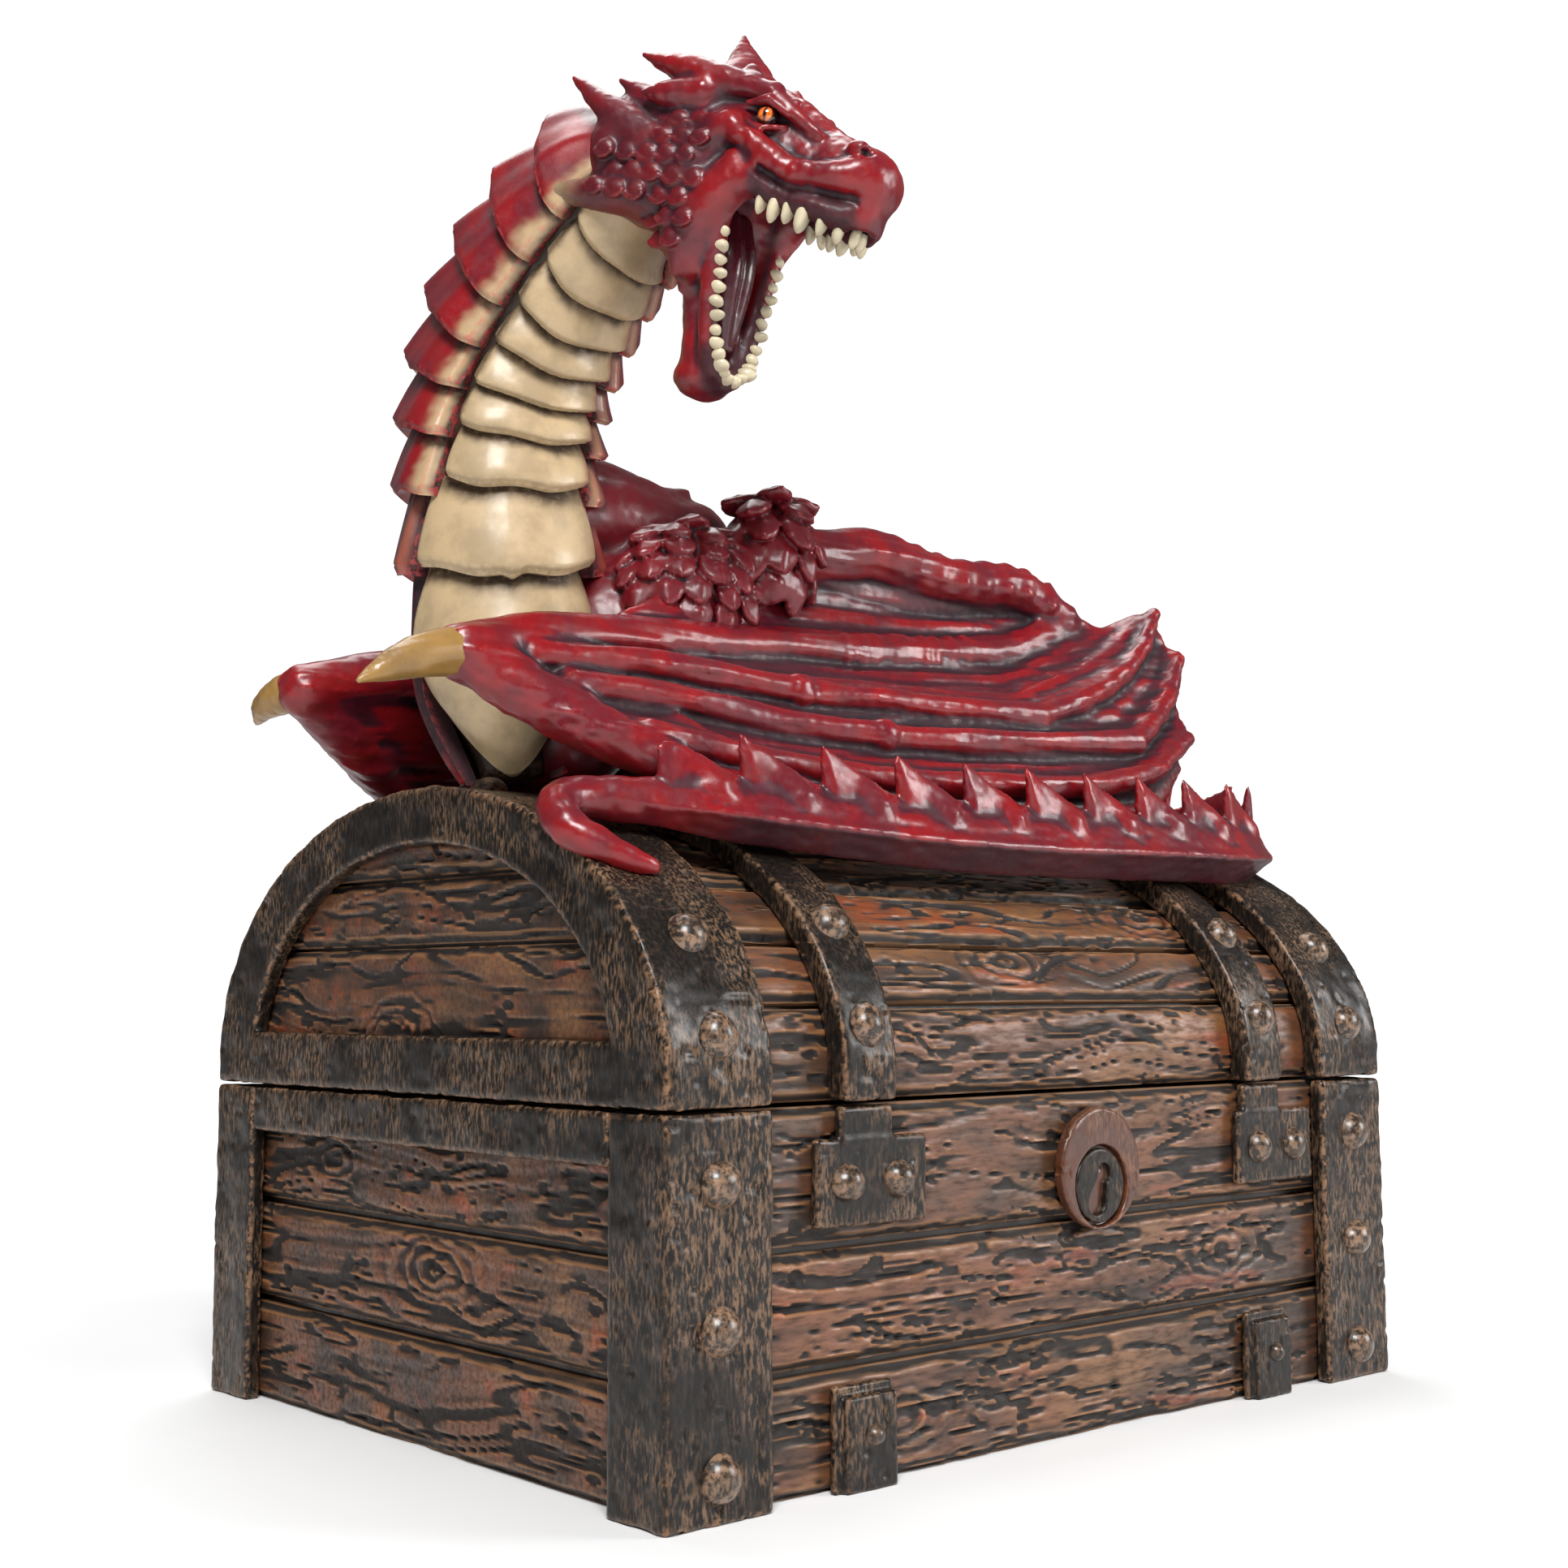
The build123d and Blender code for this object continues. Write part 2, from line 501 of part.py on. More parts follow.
def belly_heading(i):
    """The way the belly faces at path point i."""
    turn = math.radians(BELLY_TURN_DEG[i])
    return Vector(math.cos(turn), math.sin(turn), 0)


def split_at(shape, plane, heading):
    """The solids of shape on the belly side and on the back side of a plane."""
    halves = split(shape, bisect_by=plane, keep=Keep.BOTH)
    front, rear = [], []
    for s in halves.solids():
        ahead = (s.center() - plane.origin).dot(heading)
        (front if ahead > 0 else rear).append(s)
    return front, rear


def head_plane():
    """The head's own frame: local X is forward along the muzzle, local Z is up."""
    c, s = math.cos(math.radians(HEAD_PITCH_DEG)), math.sin(math.radians(HEAD_PITCH_DEG))
    fx, fy = HEAD_FORWARD
    return Plane(origin=HEAD_AT, x_dir=(fx * c, fy * c, -s), z_dir=(fx * s, fy * s, c))


def head_loft(rows):
    """A loft along local X of ellipses given as (x, z, half width, half height)."""
    faces = []
    for x, z, w, h in rows:
        plane = Plane(origin=(x, 0, z), x_dir=(0, 1, 0), z_dir=(1, 0, 0))
        faces.append(plane * Ellipse(w, h))
    return loft(faces)


def tooth_rows(points, direction, r, length):
    """Small cones at the given (x, y, z) places, all pointing one way."""
    d = Vector(*direction)
    made = []
    for p in points:
        for side in (-1, 1):
            a = Vector(p[0], side * p[1], p[2])
            b = a + d * length
            made.append(spike(tuple(a), tuple(b), r))
    return made


def head(parts):
    """Skull, jaw, tongue, teeth, eyes and horns, each in the head's own frame."""
    at = head_plane()
    skull = head_loft([(-12.5, 6.5, 9.6, 9.4), (-6, 8.2, 9.8, 9.8), (2, 9.4, 9.0, 8.6), (9, 9.0, 7.4, 7.2),
                       (16, 7.4, 6.2, 6.2), (22, 6.2, 5.6, 5.4), (25.5, 5.6, 3.4, 3.4)])
    jaw_faces = []
    for z, x, w, h in ((1.5, -3.4, 6.6, 3.0), (-5, -3.0, 6.4, 2.9), (-12, -1.8, 5.2, 2.7), (-18, -0.8, 4.2, 2.6), (-22.5, -0.2, 3.2, 2.2)):
        jaw_faces.append(Plane(origin=(x, 0, z), x_dir=(0, 1, 0), z_dir=(0, 0, -1)) * Ellipse(w, h))
    jaw = loft(jaw_faces)
    skull_core = skull - jaw
    tongue_faces = []
    for z, w in ((-3.0, 2.4), (-9.0, 2.4), (-16.0, 1.2)):
        tongue_faces.append(Plane(origin=(2.4, 0, z), x_dir=(0, 1, 0), z_dir=(0, 0, -1)) * Ellipse(w, 0.9))
    tongue = loft(tongue_faces) - jaw - skull_core

    upper = tooth_rows([(8.0, 4.6, 2.8), (11.0, 4.4, 2.4), (14.0, 4.2, 2.0), (17.4, 3.8, 1.8), (20.6, 2.6, 1.6)],
                       (0, 0, -1), 0.9, 4.2)
    upper = [t - skull_core for t in upper]
    lower = tooth_rows([(0.4, 4.9, -6), (0.8, 4.5, -9), (1.2, 4.1, -12), (1.6, 3.5, -15), (1.8, 2.8, -18), (1.8, 1.6, -20.4)],
                       (1, 0, 0), 0.8, 2.6)
    lower = [t - jaw for t in lower]

    eyes = [Pos(9.4, side * 6.6, 12.4) * Sphere(1.6) for side in (-1, 1)]
    horns = []
    for side in (-1, 1):
        horns.append(spike((3.0, side * 5.6, 14.0), (-9.0, side * 7.6, 19.4), 2.6))
        horns.append(spike((6.4, side * 5.0, 14.4), (5.6, side * 6.4, 19.0), 1.5))
        horns.append(spike((-6.0, side * 7.6, 12.0), (-17.0, side * 10.4, 14.6), 2.2))
        horns.append(spike((-8.6, side * 8.2, 2.4), (-20.0, side * 10.8, -0.6), 2.4))
    horns.append(spike((1.0, 0, 15.0), (0.0, 0, 22.6), 2.8))
    for ball in eyes:
        skull_core -= ball
    horns = [h - skull_core - parts["neck_core"] for h in horns]
    for h in horns:
        for e in eyes:
            h -= e

    skull_placed = at * skull_core
    parts["skull"] = skull_placed - parts["neck_core"] - parts["back_scutes"] - parts["belly_scutes"]
    parts["lower_jaw"] = at * jaw - parts["neck_core"] - parts["back_scutes"] - parts["belly_scutes"]
    parts["tongue"] = at * tongue
    parts["upper_teeth"] = group([at * t for t in upper])
    parts["lower_teeth"] = group([at * t for t in lower])
    parts["eyes"] = group([at * e for e in eyes])
    scutes = parts["back_scutes"] + parts["belly_scutes"]
    parts["head_horns"] = group([largest(at * h - scutes - parts["neck_core"]) for h in horns])


def largest(shape):
    """The biggest solid of a shape, when a cut leaves slivers."""
    return max(shape.solids(), key=lambda s: s.volume)


def lid_space():
    """Everything the lid fills, used to seat the dragon on it."""
    space = arch_solid(BAND_INSET, LID_BOTTOM, -HALF_L, HALF_L)
    for x in STRAP_X:
        space += arch_solid(0, LID_BOTTOM, x - STRAP_WIDTH / 2, x + STRAP_WIDTH / 2)
    for side in (-1, 1):
        x0, x1 = sorted((side * HALF_L, side * (HALF_L - POST_FRONT)))
        space += arch_solid(0, LID_BOTTOM, x0, x1)
    return space


def body_and_tail(parts, lid):
    """The torso on the lid, the tail round its right end and along the front, and the fins on the tail."""
    torso = sections_loft(TORSO_PATH, TORSO_R, flat=1.45)
    torso = torso - lid - parts["neck_core"] - parts["belly_scutes"] - parts["back_scutes"]
    parts["dragon_torso"] = largest(torso)
    whole_tail = sections_loft(TAIL_PATH, TAIL_R)
    parts["dragon_tail"] = largest(whole_tail - lid)
    heading = (CURL_PATH[0][0] - TAIL_PATH[-2][0], CURL_PATH[0][1] - TAIL_PATH[-2][1], 0.8)
    turn = Spline(*CURL_PATH, tangents=[heading, (0.5, -0.62, -0.5)])
    bend = sweep(Plane(origin=turn @ 0, z_dir=turn % 0) * Circle(CURL_R), path=turn)
    parts["tail_tip"] = bend + spike(CURL_PATH[-1], CURL_TIP, CURL_R)
    fins = []
    for i in range(10):
        fins.append(tail_fin(-46 + 12.4 * i, 1.0 - 0.03 * abs(i - 6)) - whole_tail)
    parts["tail_fins"] = group([largest(f) for f in fins])


def tail_fin(x, scale):
    """One leaning triangular fin on the tail's top, pointing towards the tail's tip."""
    y = -38.6 + 0.0024 * (x - 8) ** 2 + (0.012 * (x - 52) ** 2 if x > 52 else 0)
    z = 81.0
    outline = Polyline((7.5, -2.0), (-6.5, -2.0), (-5.0, 6.6 * scale), close=True)
    fin = extrude(make_face(outline), 1.3, both=True)
    turn = 8.0 if x < 50 else 42.0
    return Pos(x, y, z) * (Rot(0, 0, turn) * (Rot(90 - 14, 0, 0) * fin))


def membrane():
    """The left wing's skin, a thin curved sheet lofted through its cross-sections."""
    faces = []
    for x, edge in MEMBRANE_RIBS:
        outer = [(x, y, z) for y, z in edge]
        inner = [(x, y + MEMBRANE_THICK, z - MEMBRANE_THICK * 0.35) for y, z in edge]
        top = Line(outer[0], inner[0])
        low = Line(inner[-1], outer[-1])
        wire = Wire([Spline(*outer).edge(), top.edge(), Spline(*inner).edge(), low.edge()])
        faces.append(Face(wire))
    return loft(faces)


def wing_bones():
    """The left wing's arm and fingers, one casting."""
    forearm = [WRIST, (-56, -18.6, 103.6), (-30, -16.8, 106.6), (0, -17.2, 108.8), (24, -18.0, 112.6), ELBOW]
    bones = sections_loft(forearm, [2.6, 3.0, 3.0, 3.0, 2.8, 2.4])
    bones += sections_loft(LEADING_FINGER, [3.0, 3.4, 3.2, 2.6])
    return bones


def wings(parts):
    """Both wings: skin, arm bones, three fingers and the claw, the right one mirrored from the left."""
    humerus = sections_loft([SHOULDER, (10, -12.4, 122.2), (28, -16.4, 120.6), (41, -19.6, 117.6)], [4.6, 3.6, 3.0, 2.2])
    made = {
        "arm": wing_bones() + humerus,
        "fingers": group([sections_loft(path, FINGER_R) for path in FINGERS]),
        "claw": spike(WRIST, CLAW_TIP, 2.9, 0.4),
        "membrane": membrane(),
    }
    for piece, shape in made.items():
        parts[f"left_wing_{piece}"] = shape
        parts[f"right_wing_{piece}"] = mirror(shape, about=Plane.XZ)


# ---------------------------------------------------------------- assembly
def build():
    """Every node by name."""
    parts = {"base_tub": base_tub()}
    base_planks(parts)
    base_irons(parts)
    front_plates(parts)
    lock(parts)
    parts["base_rivets"] = base_rivets()
    parts["lid_shell"] = lid_shell()
    parts["lid_planks"] = lid_planks()
    for name, side in (("left", -1), ("right", 1)):
        parts[f"lid_end_planks_{name}"] = lid_end_planks(side)
        parts[f"lid_end_iron_{name}"] = lid_end_iron(side)
    for name, x in zip(("left", "right"), STRAP_X):
        parts[f"lid_strap_{name}"] = strap_band(x, STRAP_WIDTH)
        parts[f"hinge_base_{name}"] = hinge_base_leaf(x)
        parts[f"hinge_lid_{name}"] = hinge_lid_leaf(x)
    parts["lid_rivets"] = lid_rivets()
    parts["hinge_pins"] = hinge_pins()
    air_line(parts)
    neck(parts)
    head(parts)
    lid = lid_space()
    body_and_tail(parts, lid)
    wings(parts)
    return parts


os.makedirs("parts", exist_ok=True)
for node, shape in build().items():
    export_step(shape, f"parts/{node}.step")
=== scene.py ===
import math

import bpy
import numpy as np
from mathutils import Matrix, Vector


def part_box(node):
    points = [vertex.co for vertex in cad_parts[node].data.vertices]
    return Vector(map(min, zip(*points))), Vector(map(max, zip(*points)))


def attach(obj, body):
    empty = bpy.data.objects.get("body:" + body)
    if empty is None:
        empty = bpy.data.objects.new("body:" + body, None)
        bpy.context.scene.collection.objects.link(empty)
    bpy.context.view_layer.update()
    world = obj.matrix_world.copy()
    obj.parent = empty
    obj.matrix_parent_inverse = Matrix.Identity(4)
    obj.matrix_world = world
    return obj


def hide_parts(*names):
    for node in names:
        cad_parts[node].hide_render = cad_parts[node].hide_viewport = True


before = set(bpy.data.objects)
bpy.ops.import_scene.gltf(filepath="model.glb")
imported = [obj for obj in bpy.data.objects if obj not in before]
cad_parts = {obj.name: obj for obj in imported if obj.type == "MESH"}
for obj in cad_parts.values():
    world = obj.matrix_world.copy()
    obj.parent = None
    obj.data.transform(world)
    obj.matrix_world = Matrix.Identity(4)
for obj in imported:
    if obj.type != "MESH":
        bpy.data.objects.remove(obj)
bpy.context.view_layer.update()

import openvdb
from mathutils import Vector

# Everything below is worked out in millimetres in the part's frame. A mesh is made in metres.
MM = 0.001


# ---------------------------------------------------------------- numbers and noise
def vec(*values):
    """A point or direction."""
    return np.array(values, float)


def unit(v):
    """v at length 1."""
    return v / max(np.linalg.norm(v), 1e-9)


def box_mm(node):
    """The low and high corners of a CAD node."""
    low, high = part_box(node)
    return np.array(low) / MM, np.array(high) / MM


def smoothstep(low, high, x):
    """0 below low, 1 above high, smooth between."""
    t = np.clip((x - low) / (high - low), 0.0, 1.0)
    return t * t * (3 - 2 * t)


def noise(p, size, seed=0):
    """Smooth noise between -1 and 1 at the points p. Features are about size across, one number or three."""
    q = np.asarray(p, float) / np.asarray(size, float) + 917.0
    cell = np.floor(q).astype(np.int64)
    f = q - cell
    f = f * f * (3 - 2 * f)
    total = np.zeros(len(q))
    for dx in (0, 1):
        wx = f[:, 0] if dx else 1 - f[:, 0]
        for dy in (0, 1):
            wy = f[:, 1] if dy else 1 - f[:, 1]
            for dz in (0, 1):
                wz = f[:, 2] if dz else 1 - f[:, 2]
                h = (cell[:, 0] + dx) * 73856093 ^ (cell[:, 1] + dy) * 19349663
                h = h ^ (cell[:, 2] + dz) * 83492791 ^ (seed * 2654435761 + 97)
                h = (h ^ (h >> 13)) * 1274126177
                h = h ^ (h >> 16)
                total += wx * wy * wz * ((h & 0xFFFF) / 32767.5 - 1.0)
    return total


def curve(points, n):
    """n points along a smooth curve through rows of numbers: positions, and radii or headings with them."""
    p = np.array(points, float)
    ext = np.vstack([2 * p[0] - p[1], p, 2 * p[-1] - p[-2]])
    t = np.linspace(0, len(p) - 1, n)
    i = np.minimum(t.astype(int), len(p) - 2)
    f = (t - i)[:, None]
    a, b, c, d = ext[i], ext[i + 1], ext[i + 2], ext[i + 3]
    square = 2 * a - 5 * b + 4 * c - d
    cube = 3 * b - 3 * c + d - a
    return 0.5 * (2 * b + (c - a) * f + square * f ** 2 + cube * f ** 3)


# ---------------------------------------------------------------- meshes
def corner_normals(co, faces):
    """A unit normal at each vertex of a mesh of quads."""
    n = np.cross(co[faces[:, 2]] - co[faces[:, 0]], co[faces[:, 3]] - co[faces[:, 1]])
    out = np.zeros_like(co)
    for corner in faces.T:
        for axis in range(3):
            out[:, axis] += np.bincount(corner, n[:, axis], len(co))
    return out / np.maximum(np.linalg.norm(out, axis=1), 1e-9)[:, None]


def averaged(co, faces, rounds):
    """Vertex positions after that many rounds of taking each vertex halfway to its neighbours' mean."""
    a = faces.T.ravel()
    b = np.roll(faces, -1, axis=1).T.ravel()
    count = np.maximum(np.bincount(a, minlength=len(co)) + np.bincount(b, minlength=len(co)), 1)
    out = co.copy()
    for _ in range(rounds):
        for axis in range(3):
            total = np.bincount(a, out[b, axis], len(co)) + np.bincount(b, out[a, axis], len(co))
            out[:, axis] = 0.5 * out[:, axis] + 0.5 * total / count
    return out


def roughened(co, faces, height):
    """Vertex positions moved out of the surface by height, a number per vertex."""
    return co + corner_normals(co, faces) * height[:, None]


def signed_volume(co, faces):
    """Six times the enclosed volume, below 0 when the faces point inwards."""
    return np.einsum("ij,ij->i", co[faces[:, 0]], np.cross(co[faces[:, 1]], co[faces[:, 2]])).sum()


def put(me, label, values):
    """A number per vertex that the materials read."""
    attribute = me.attributes.new(label, "FLOAT", "POINT")
    attribute.data.foreach_set("value", np.asarray(values, np.float32))


def piece(name, co, faces, body, material, nodes, attributes=None, sharp=None, hollow_rounds=(3, 16)):
    """A mesh of quads that stands for CAD nodes. Two attributes say how hollow it is, finely and broadly.

    hollow_rounds says how many rounds of averaging each of the two compares the surface with.
    """
    co = np.ascontiguousarray(co, float)
    faces = np.ascontiguousarray(faces)
    me = bpy.data.meshes.new(name)
    me.vertices.add(len(co))
    me.vertices.foreach_set("co", (co * MM).astype(np.float32).ravel())
    me.loops.add(faces.size)
    me.loops.foreach_set("vertex_index", faces.astype(np.int32).ravel())
    me.polygons.add(len(faces))
    me.polygons.foreach_set("loop_start", np.arange(len(faces), dtype=np.int32) * 4)
    me.update(calc_edges=True)
    me.validate()
    me.polygons.foreach_set("use_smooth", np.ones(len(me.polygons), bool))
    n = corner_normals(co, faces)
    for label, rounds in zip(("fine", "broad"), hollow_rounds):
        put(me, label, np.einsum("ij,ij->i", averaged(co, faces, rounds) - co, n))
    for label, values in (attributes or {}).items():
        put(me, label, values)
    if sharp:
        me.set_sharp_from_angle(angle=math.radians(sharp))
    me.materials.append(material)
    ob = link(name, me)
    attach(ob, body)
    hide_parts(*nodes)


def link(name, data):
    """A new object in the scene."""
    ob = bpy.data.objects.new(name, data)
    bpy.context.scene.collection.objects.link(ob)
    return ob


def grid_faces(rows, cols, wrap=False):
    """Quads over a rows x cols sheet of vertices, joined round the columns if wrap."""
    r = np.arange(rows - 1)[:, None]
    c = np.arange(cols if wrap else cols - 1)[None, :]
    c1 = (c + 1) % cols
    a = r * cols + c
    b = r * cols + c1
    return np.stack([a, b, b + cols, a + cols], -1).reshape(-1, 4)


def tube_faces(rows, cols):
    """Quads round a stack of rings with an even number of points each, closed at both ends."""
    k = np.arange(cols // 2 - 1)
    low = np.stack([cols - 1 - k, cols - 2 - k, k + 1, k], 1)
    high = np.stack([k, k + 1, cols - 2 - k, cols - 1 - k], 1) + (rows - 1) * cols
    return np.vstack([grid_faces(rows, cols, wrap=True), low, high])


def joined(parts):
    """(co, faces) pairs as one."""
    cos, fs, at = [], [], 0
    for co, f in parts:
        cos.append(co)
        fs.append(f + at)
        at += len(co)
    return np.vstack(cos), np.vstack(fs)


# ---------------------------------------------------------------- clay: solid shapes melted together
def both(points):
    """Each side, -1 and 1, and the rows of x, y, z, radius mirrored onto it."""
    for side in (-1, 1):
        yield side, [(x, side * y, z, *rest) for x, y, z, *rest in points]


class Clay:
    """A block of distances on a grid. Shapes are added or carved with soft joins, then cast as a mesh."""

    FAR = 4.0

    def __init__(self, low, high, step):
        self.low = np.array(low, float)
        self.step = step
        self.n = np.ceil((np.array(high) - self.low) / step).astype(int) + 1
        self.d = np.full(self.n, self.FAR, np.float32)
        self.margin = 2.5 * step

    def window(self, low, high):
        """The slices of the grid between two corners, and the coordinates inside."""
        i0 = np.clip(np.floor((low - self.low) / self.step).astype(int), 0, self.n - 1)
        i1 = np.clip(np.ceil((high - self.low) / self.step).astype(int) + 1, 0, self.n)
        cut = tuple(slice(a, max(b, a + 1)) for a, b in zip(i0, i1))
        axes = [self.low[k] + self.step * np.arange(cut[k].start, cut[k].stop) for k in range(3)]
        return cut, axes[0][:, None, None], axes[1][None, :, None], axes[2][None, None, :]

    def join(self, cut, other, k, carve=False):
        """Adds other to the block, or takes it away, with a soft edge k wide."""
        own = self.d[cut]
        if carve:
            h = np.clip(0.5 - 0.5 * (own + other) / k, 0, 1)
            self.d[cut] = own * (1 - h) - other * h + k * h * (1 - h)
        else:
            h = np.clip(0.5 + 0.5 * (other - own) / k, 0, 1)
            self.d[cut] = other * (1 - h) + own * h - k * h * (1 - h)

    def strokes(self, parts, k=0.8, carve=False):
        """Round-ended cones, each (a, b, radius at a, radius at b): sharp between them, soft to the block."""
        ends = np.array([(*a, ra) for a, _, ra, _ in parts] + [(*b, rb) for _, b, _, rb in parts], float)
        reach = k + self.margin
        low = (ends[:, :3] - ends[:, 3:]).min(0) - reach
        high = (ends[:, :3] + ends[:, 3:]).max(0) + reach
        cut, gx, gy, gz = self.window(low, high)
        start = np.array([c.start for c in cut])
        field = np.full([c.stop - c.start for c in cut], self.FAR, np.float32)
        for a, b, ra, rb in parts:
            a, b = np.array(a, float), np.array(b, float)
            size = max(ra, rb) + reach
            own = self.window(np.minimum(a, b) - size, np.maximum(a, b) + size)[0]
            inner = tuple(slice(max(s.start - o, 0), max(s.stop - o, 0)) for s, o in zip(own, start))
            x, y, z = gx[inner[0]], gy[:, inner[1]], gz[:, :, inner[2]]
            ab = b - a
            t = ((x - a[0]) * ab[0] + (y - a[1]) * ab[1] + (z - a[2]) * ab[2]) / max(ab @ ab, 1e-9)
            t = np.clip(t, 0, 1)
            away = (x - a[0] - t * ab[0]) ** 2 + (y - a[1] - t * ab[1]) ** 2 + (z - a[2] - t * ab[2]) ** 2
            field[inner] = np.minimum(field[inner], np.sqrt(away) - (ra + (rb - ra) * t))
        self.join(cut, field, k, carve)

    def limb(self, a, b, ra, rb, k=0.8, carve=False):
        """One cone with round ends from a to b."""
        self.strokes([(a, b, ra, rb)], k, carve)

    def chain(self, points, k=0.8, carve=False, n=None):
        """Limbs through rows of x, y, z, radius, on a smooth curve of n points if n is given."""
        p = curve(points, n) if n else np.array(points, float)
        self.strokes([(a[:3], b[:3], max(a[3], 0.05), max(b[3], 0.05)) for a, b in zip(p, p[1:])], k, carve)

    def pair(self, points, k=0.8, carve=False, n=None):
        """The same chain on both sides of y = 0."""
        for _, p in both(points):
            self.chain(p, k, carve, n)

    def ball(self, c, r, k=0.8, carve=False, turn=None):
        """An ellipsoid with half axes r, turned by a 3 x 3 matrix whose rows are its own axes."""
        c, r = np.array(c, float), np.broadcast_to(np.array(r, float), 3)
        reach = r.max() + k + self.margin
        cut, x, y, z = self.window(c - reach, c + reach)
        x, y, z = x - c[0], y - c[1], z - c[2]
        if turn is not None:
            x, y, z = (t[0] * x + t[1] * y + t[2] * z for t in turn)
        far = np.sqrt((x / r[0]) ** 2 + (y / r[1]) ** 2 + (z / r[2]) ** 2)
        steep = np.sqrt((x / r[0] ** 2) ** 2 + (y / r[1] ** 2) ** 2 + (z / r[2] ** 2) ** 2)
        self.join(cut, far * (far - 1) / np.maximum(steep, 1e-6), k, carve)

    def sheet(self, rows, r, k=0.7):
        """A thin skin over rows of points: each row is joined across, close enough to melt together."""
        self.strokes([(a, b, r, r) for row in rows for a, b in zip(row, row[1:])], k)

    def brick(self, low, high, edge, k=0.4):
        """A box with rounded edges."""
        low, high = np.array(low, float), np.array(high, float)
        cut, x, y, z = self.window(low - k - self.margin, high + k + self.margin)
        half, mid = (high - low) / 2 - edge, (high + low) / 2
        q = [np.abs(v - mid[i]) - half[i] for i, v in enumerate((x, y, z))]
        outside = np.sqrt(sum(np.maximum(v, 0) ** 2 for v in q))
        inside = np.minimum(np.maximum(np.maximum(q[0], q[1]), q[2]), 0)
        self.join(cut, outside + inside - edge, k)

    def put_field(self, field, k=0.4, carve=False):
        """A distance for the whole block, from a function of x, y, z."""
        cut, x, y, z = self.window(self.low, self.low + self.step * self.n)
        self.join(cut, np.broadcast_to(field(x, y, z), self.d.shape), k, carve)

    def cast(self, rounds=1):
        """The block's surface as quads."""
        grid = openvdb.FloatGrid(self.FAR)
        grid.copyFromArray(np.clip(self.d, -self.FAR, self.FAR))
        co, quads = grid.convertToQuads()
        co = co.astype(float) * self.step + self.low
        quads = quads.astype(np.int64)
        if signed_volume(co, quads) < 0:
            quads = quads[:, ::-1]
        return averaged(co, quads, rounds), quads


# ---------------------------------------------------------------- materials
class Mix:
    """Short names for building a material's nodes."""

    def __init__(self, name):
        self.mat = bpy.data.materials.new(name)
        self.mat.use_nodes = True
        self.nodes = self.mat.node_tree.nodes
        self.links = self.mat.node_tree.links
        self.nodes.clear()
        self.out = self.nodes.new("ShaderNodeOutputMaterial")
        self.bsdf = self.nodes.new("ShaderNodeBsdfPrincipled")
        self.links.new(self.bsdf.outputs[0], self.out.inputs[0])
        self.coords = self.nodes.new("ShaderNodeTexCoord").outputs["Object"]

    def attribute(self, name):
        """A number that put() gave each vertex, or 0 on a mesh without it."""
        node = self.nodes.new("ShaderNodeAttribute")
        node.attribute_name = name
        return node.outputs["Fac"]

    def noise(self, size_mm, detail=4.0, stretch=(1, 1, 1)):
        """Noise with features about size_mm across. An axis with a stretch below 1 has longer features."""
        mapping = self.nodes.new("ShaderNodeMapping")
        mapping.inputs["Scale"].default_value = stretch
        self.links.new(self.coords, mapping.inputs[0])
        node = self.nodes.new("ShaderNodeTexNoise")
        node.inputs["Scale"].default_value = 1.0 / (size_mm * MM)
        node.inputs["Detail"].default_value = detail
        node.inputs["Roughness"].default_value = 0.6
        self.links.new(mapping.outputs[0], node.inputs["Vector"])
        return node.outputs["Fac"]

    def ramp(self, value, low, high, out_low=0.0, out_high=1.0):
        """A smooth step from out_low, where value is low, to out_high, where it is high."""
        node = self.nodes.new("ShaderNodeMapRange")
        node.interpolation_type = "SMOOTHSTEP"
        for key, v in (("From Min", low), ("From Max", high), ("To Min", out_low), ("To Max", out_high)):
            node.inputs[key].default_value = v
        self.links.new(value, node.inputs["Value"])
        return node.outputs[0]

    def math(self, kind, a, b):
        """ADD, SUBTRACT, MULTIPLY or MAXIMUM of two numbers or outputs."""
        node = self.nodes.new("ShaderNodeMath")
        node.operation = kind
        for socket, v in zip(node.inputs, (a, b)):
            self.feed(socket, v)
        return node.outputs[0]

    def feed(self, socket, value):
        """Sets a socket from another node's output, a colour or a number."""
        if hasattr(value, "is_output"):
            self.links.new(value, socket)
        elif isinstance(value, (tuple, list)):
            socket.default_value = (*value, 1.0) if len(value) == 3 else value
        else:
            socket.default_value = value

    def mix(self, share, a, b):
        """Colour a where share is 0 and b where it is 1."""
        node = self.nodes.new("ShaderNodeMix")
        node.data_type = "RGBA"
        self.feed(node.inputs[0], share)
        self.feed(node.inputs[6], a)
        self.feed(node.inputs[7], b)
        return node.outputs[2]

    def bump(self, height, distance_mm, strength):
        """Fine relief in the shading."""
        node = self.nodes.new("ShaderNodeBump")
        node.inputs["Distance"].default_value = distance_mm * MM
        node.inputs["Strength"].default_value = strength
        self.feed(node.inputs["Height"], height)
        self.links.new(node.outputs[0], self.bsdf.inputs["Normal"])

    def set(self, **values):
        """Sets the shader's inputs, named with _ for each space, and gives the material."""
        for key, v in values.items():
            self.feed(self.bsdf.inputs[key.replace("_", " ")], v)
        return self.mat


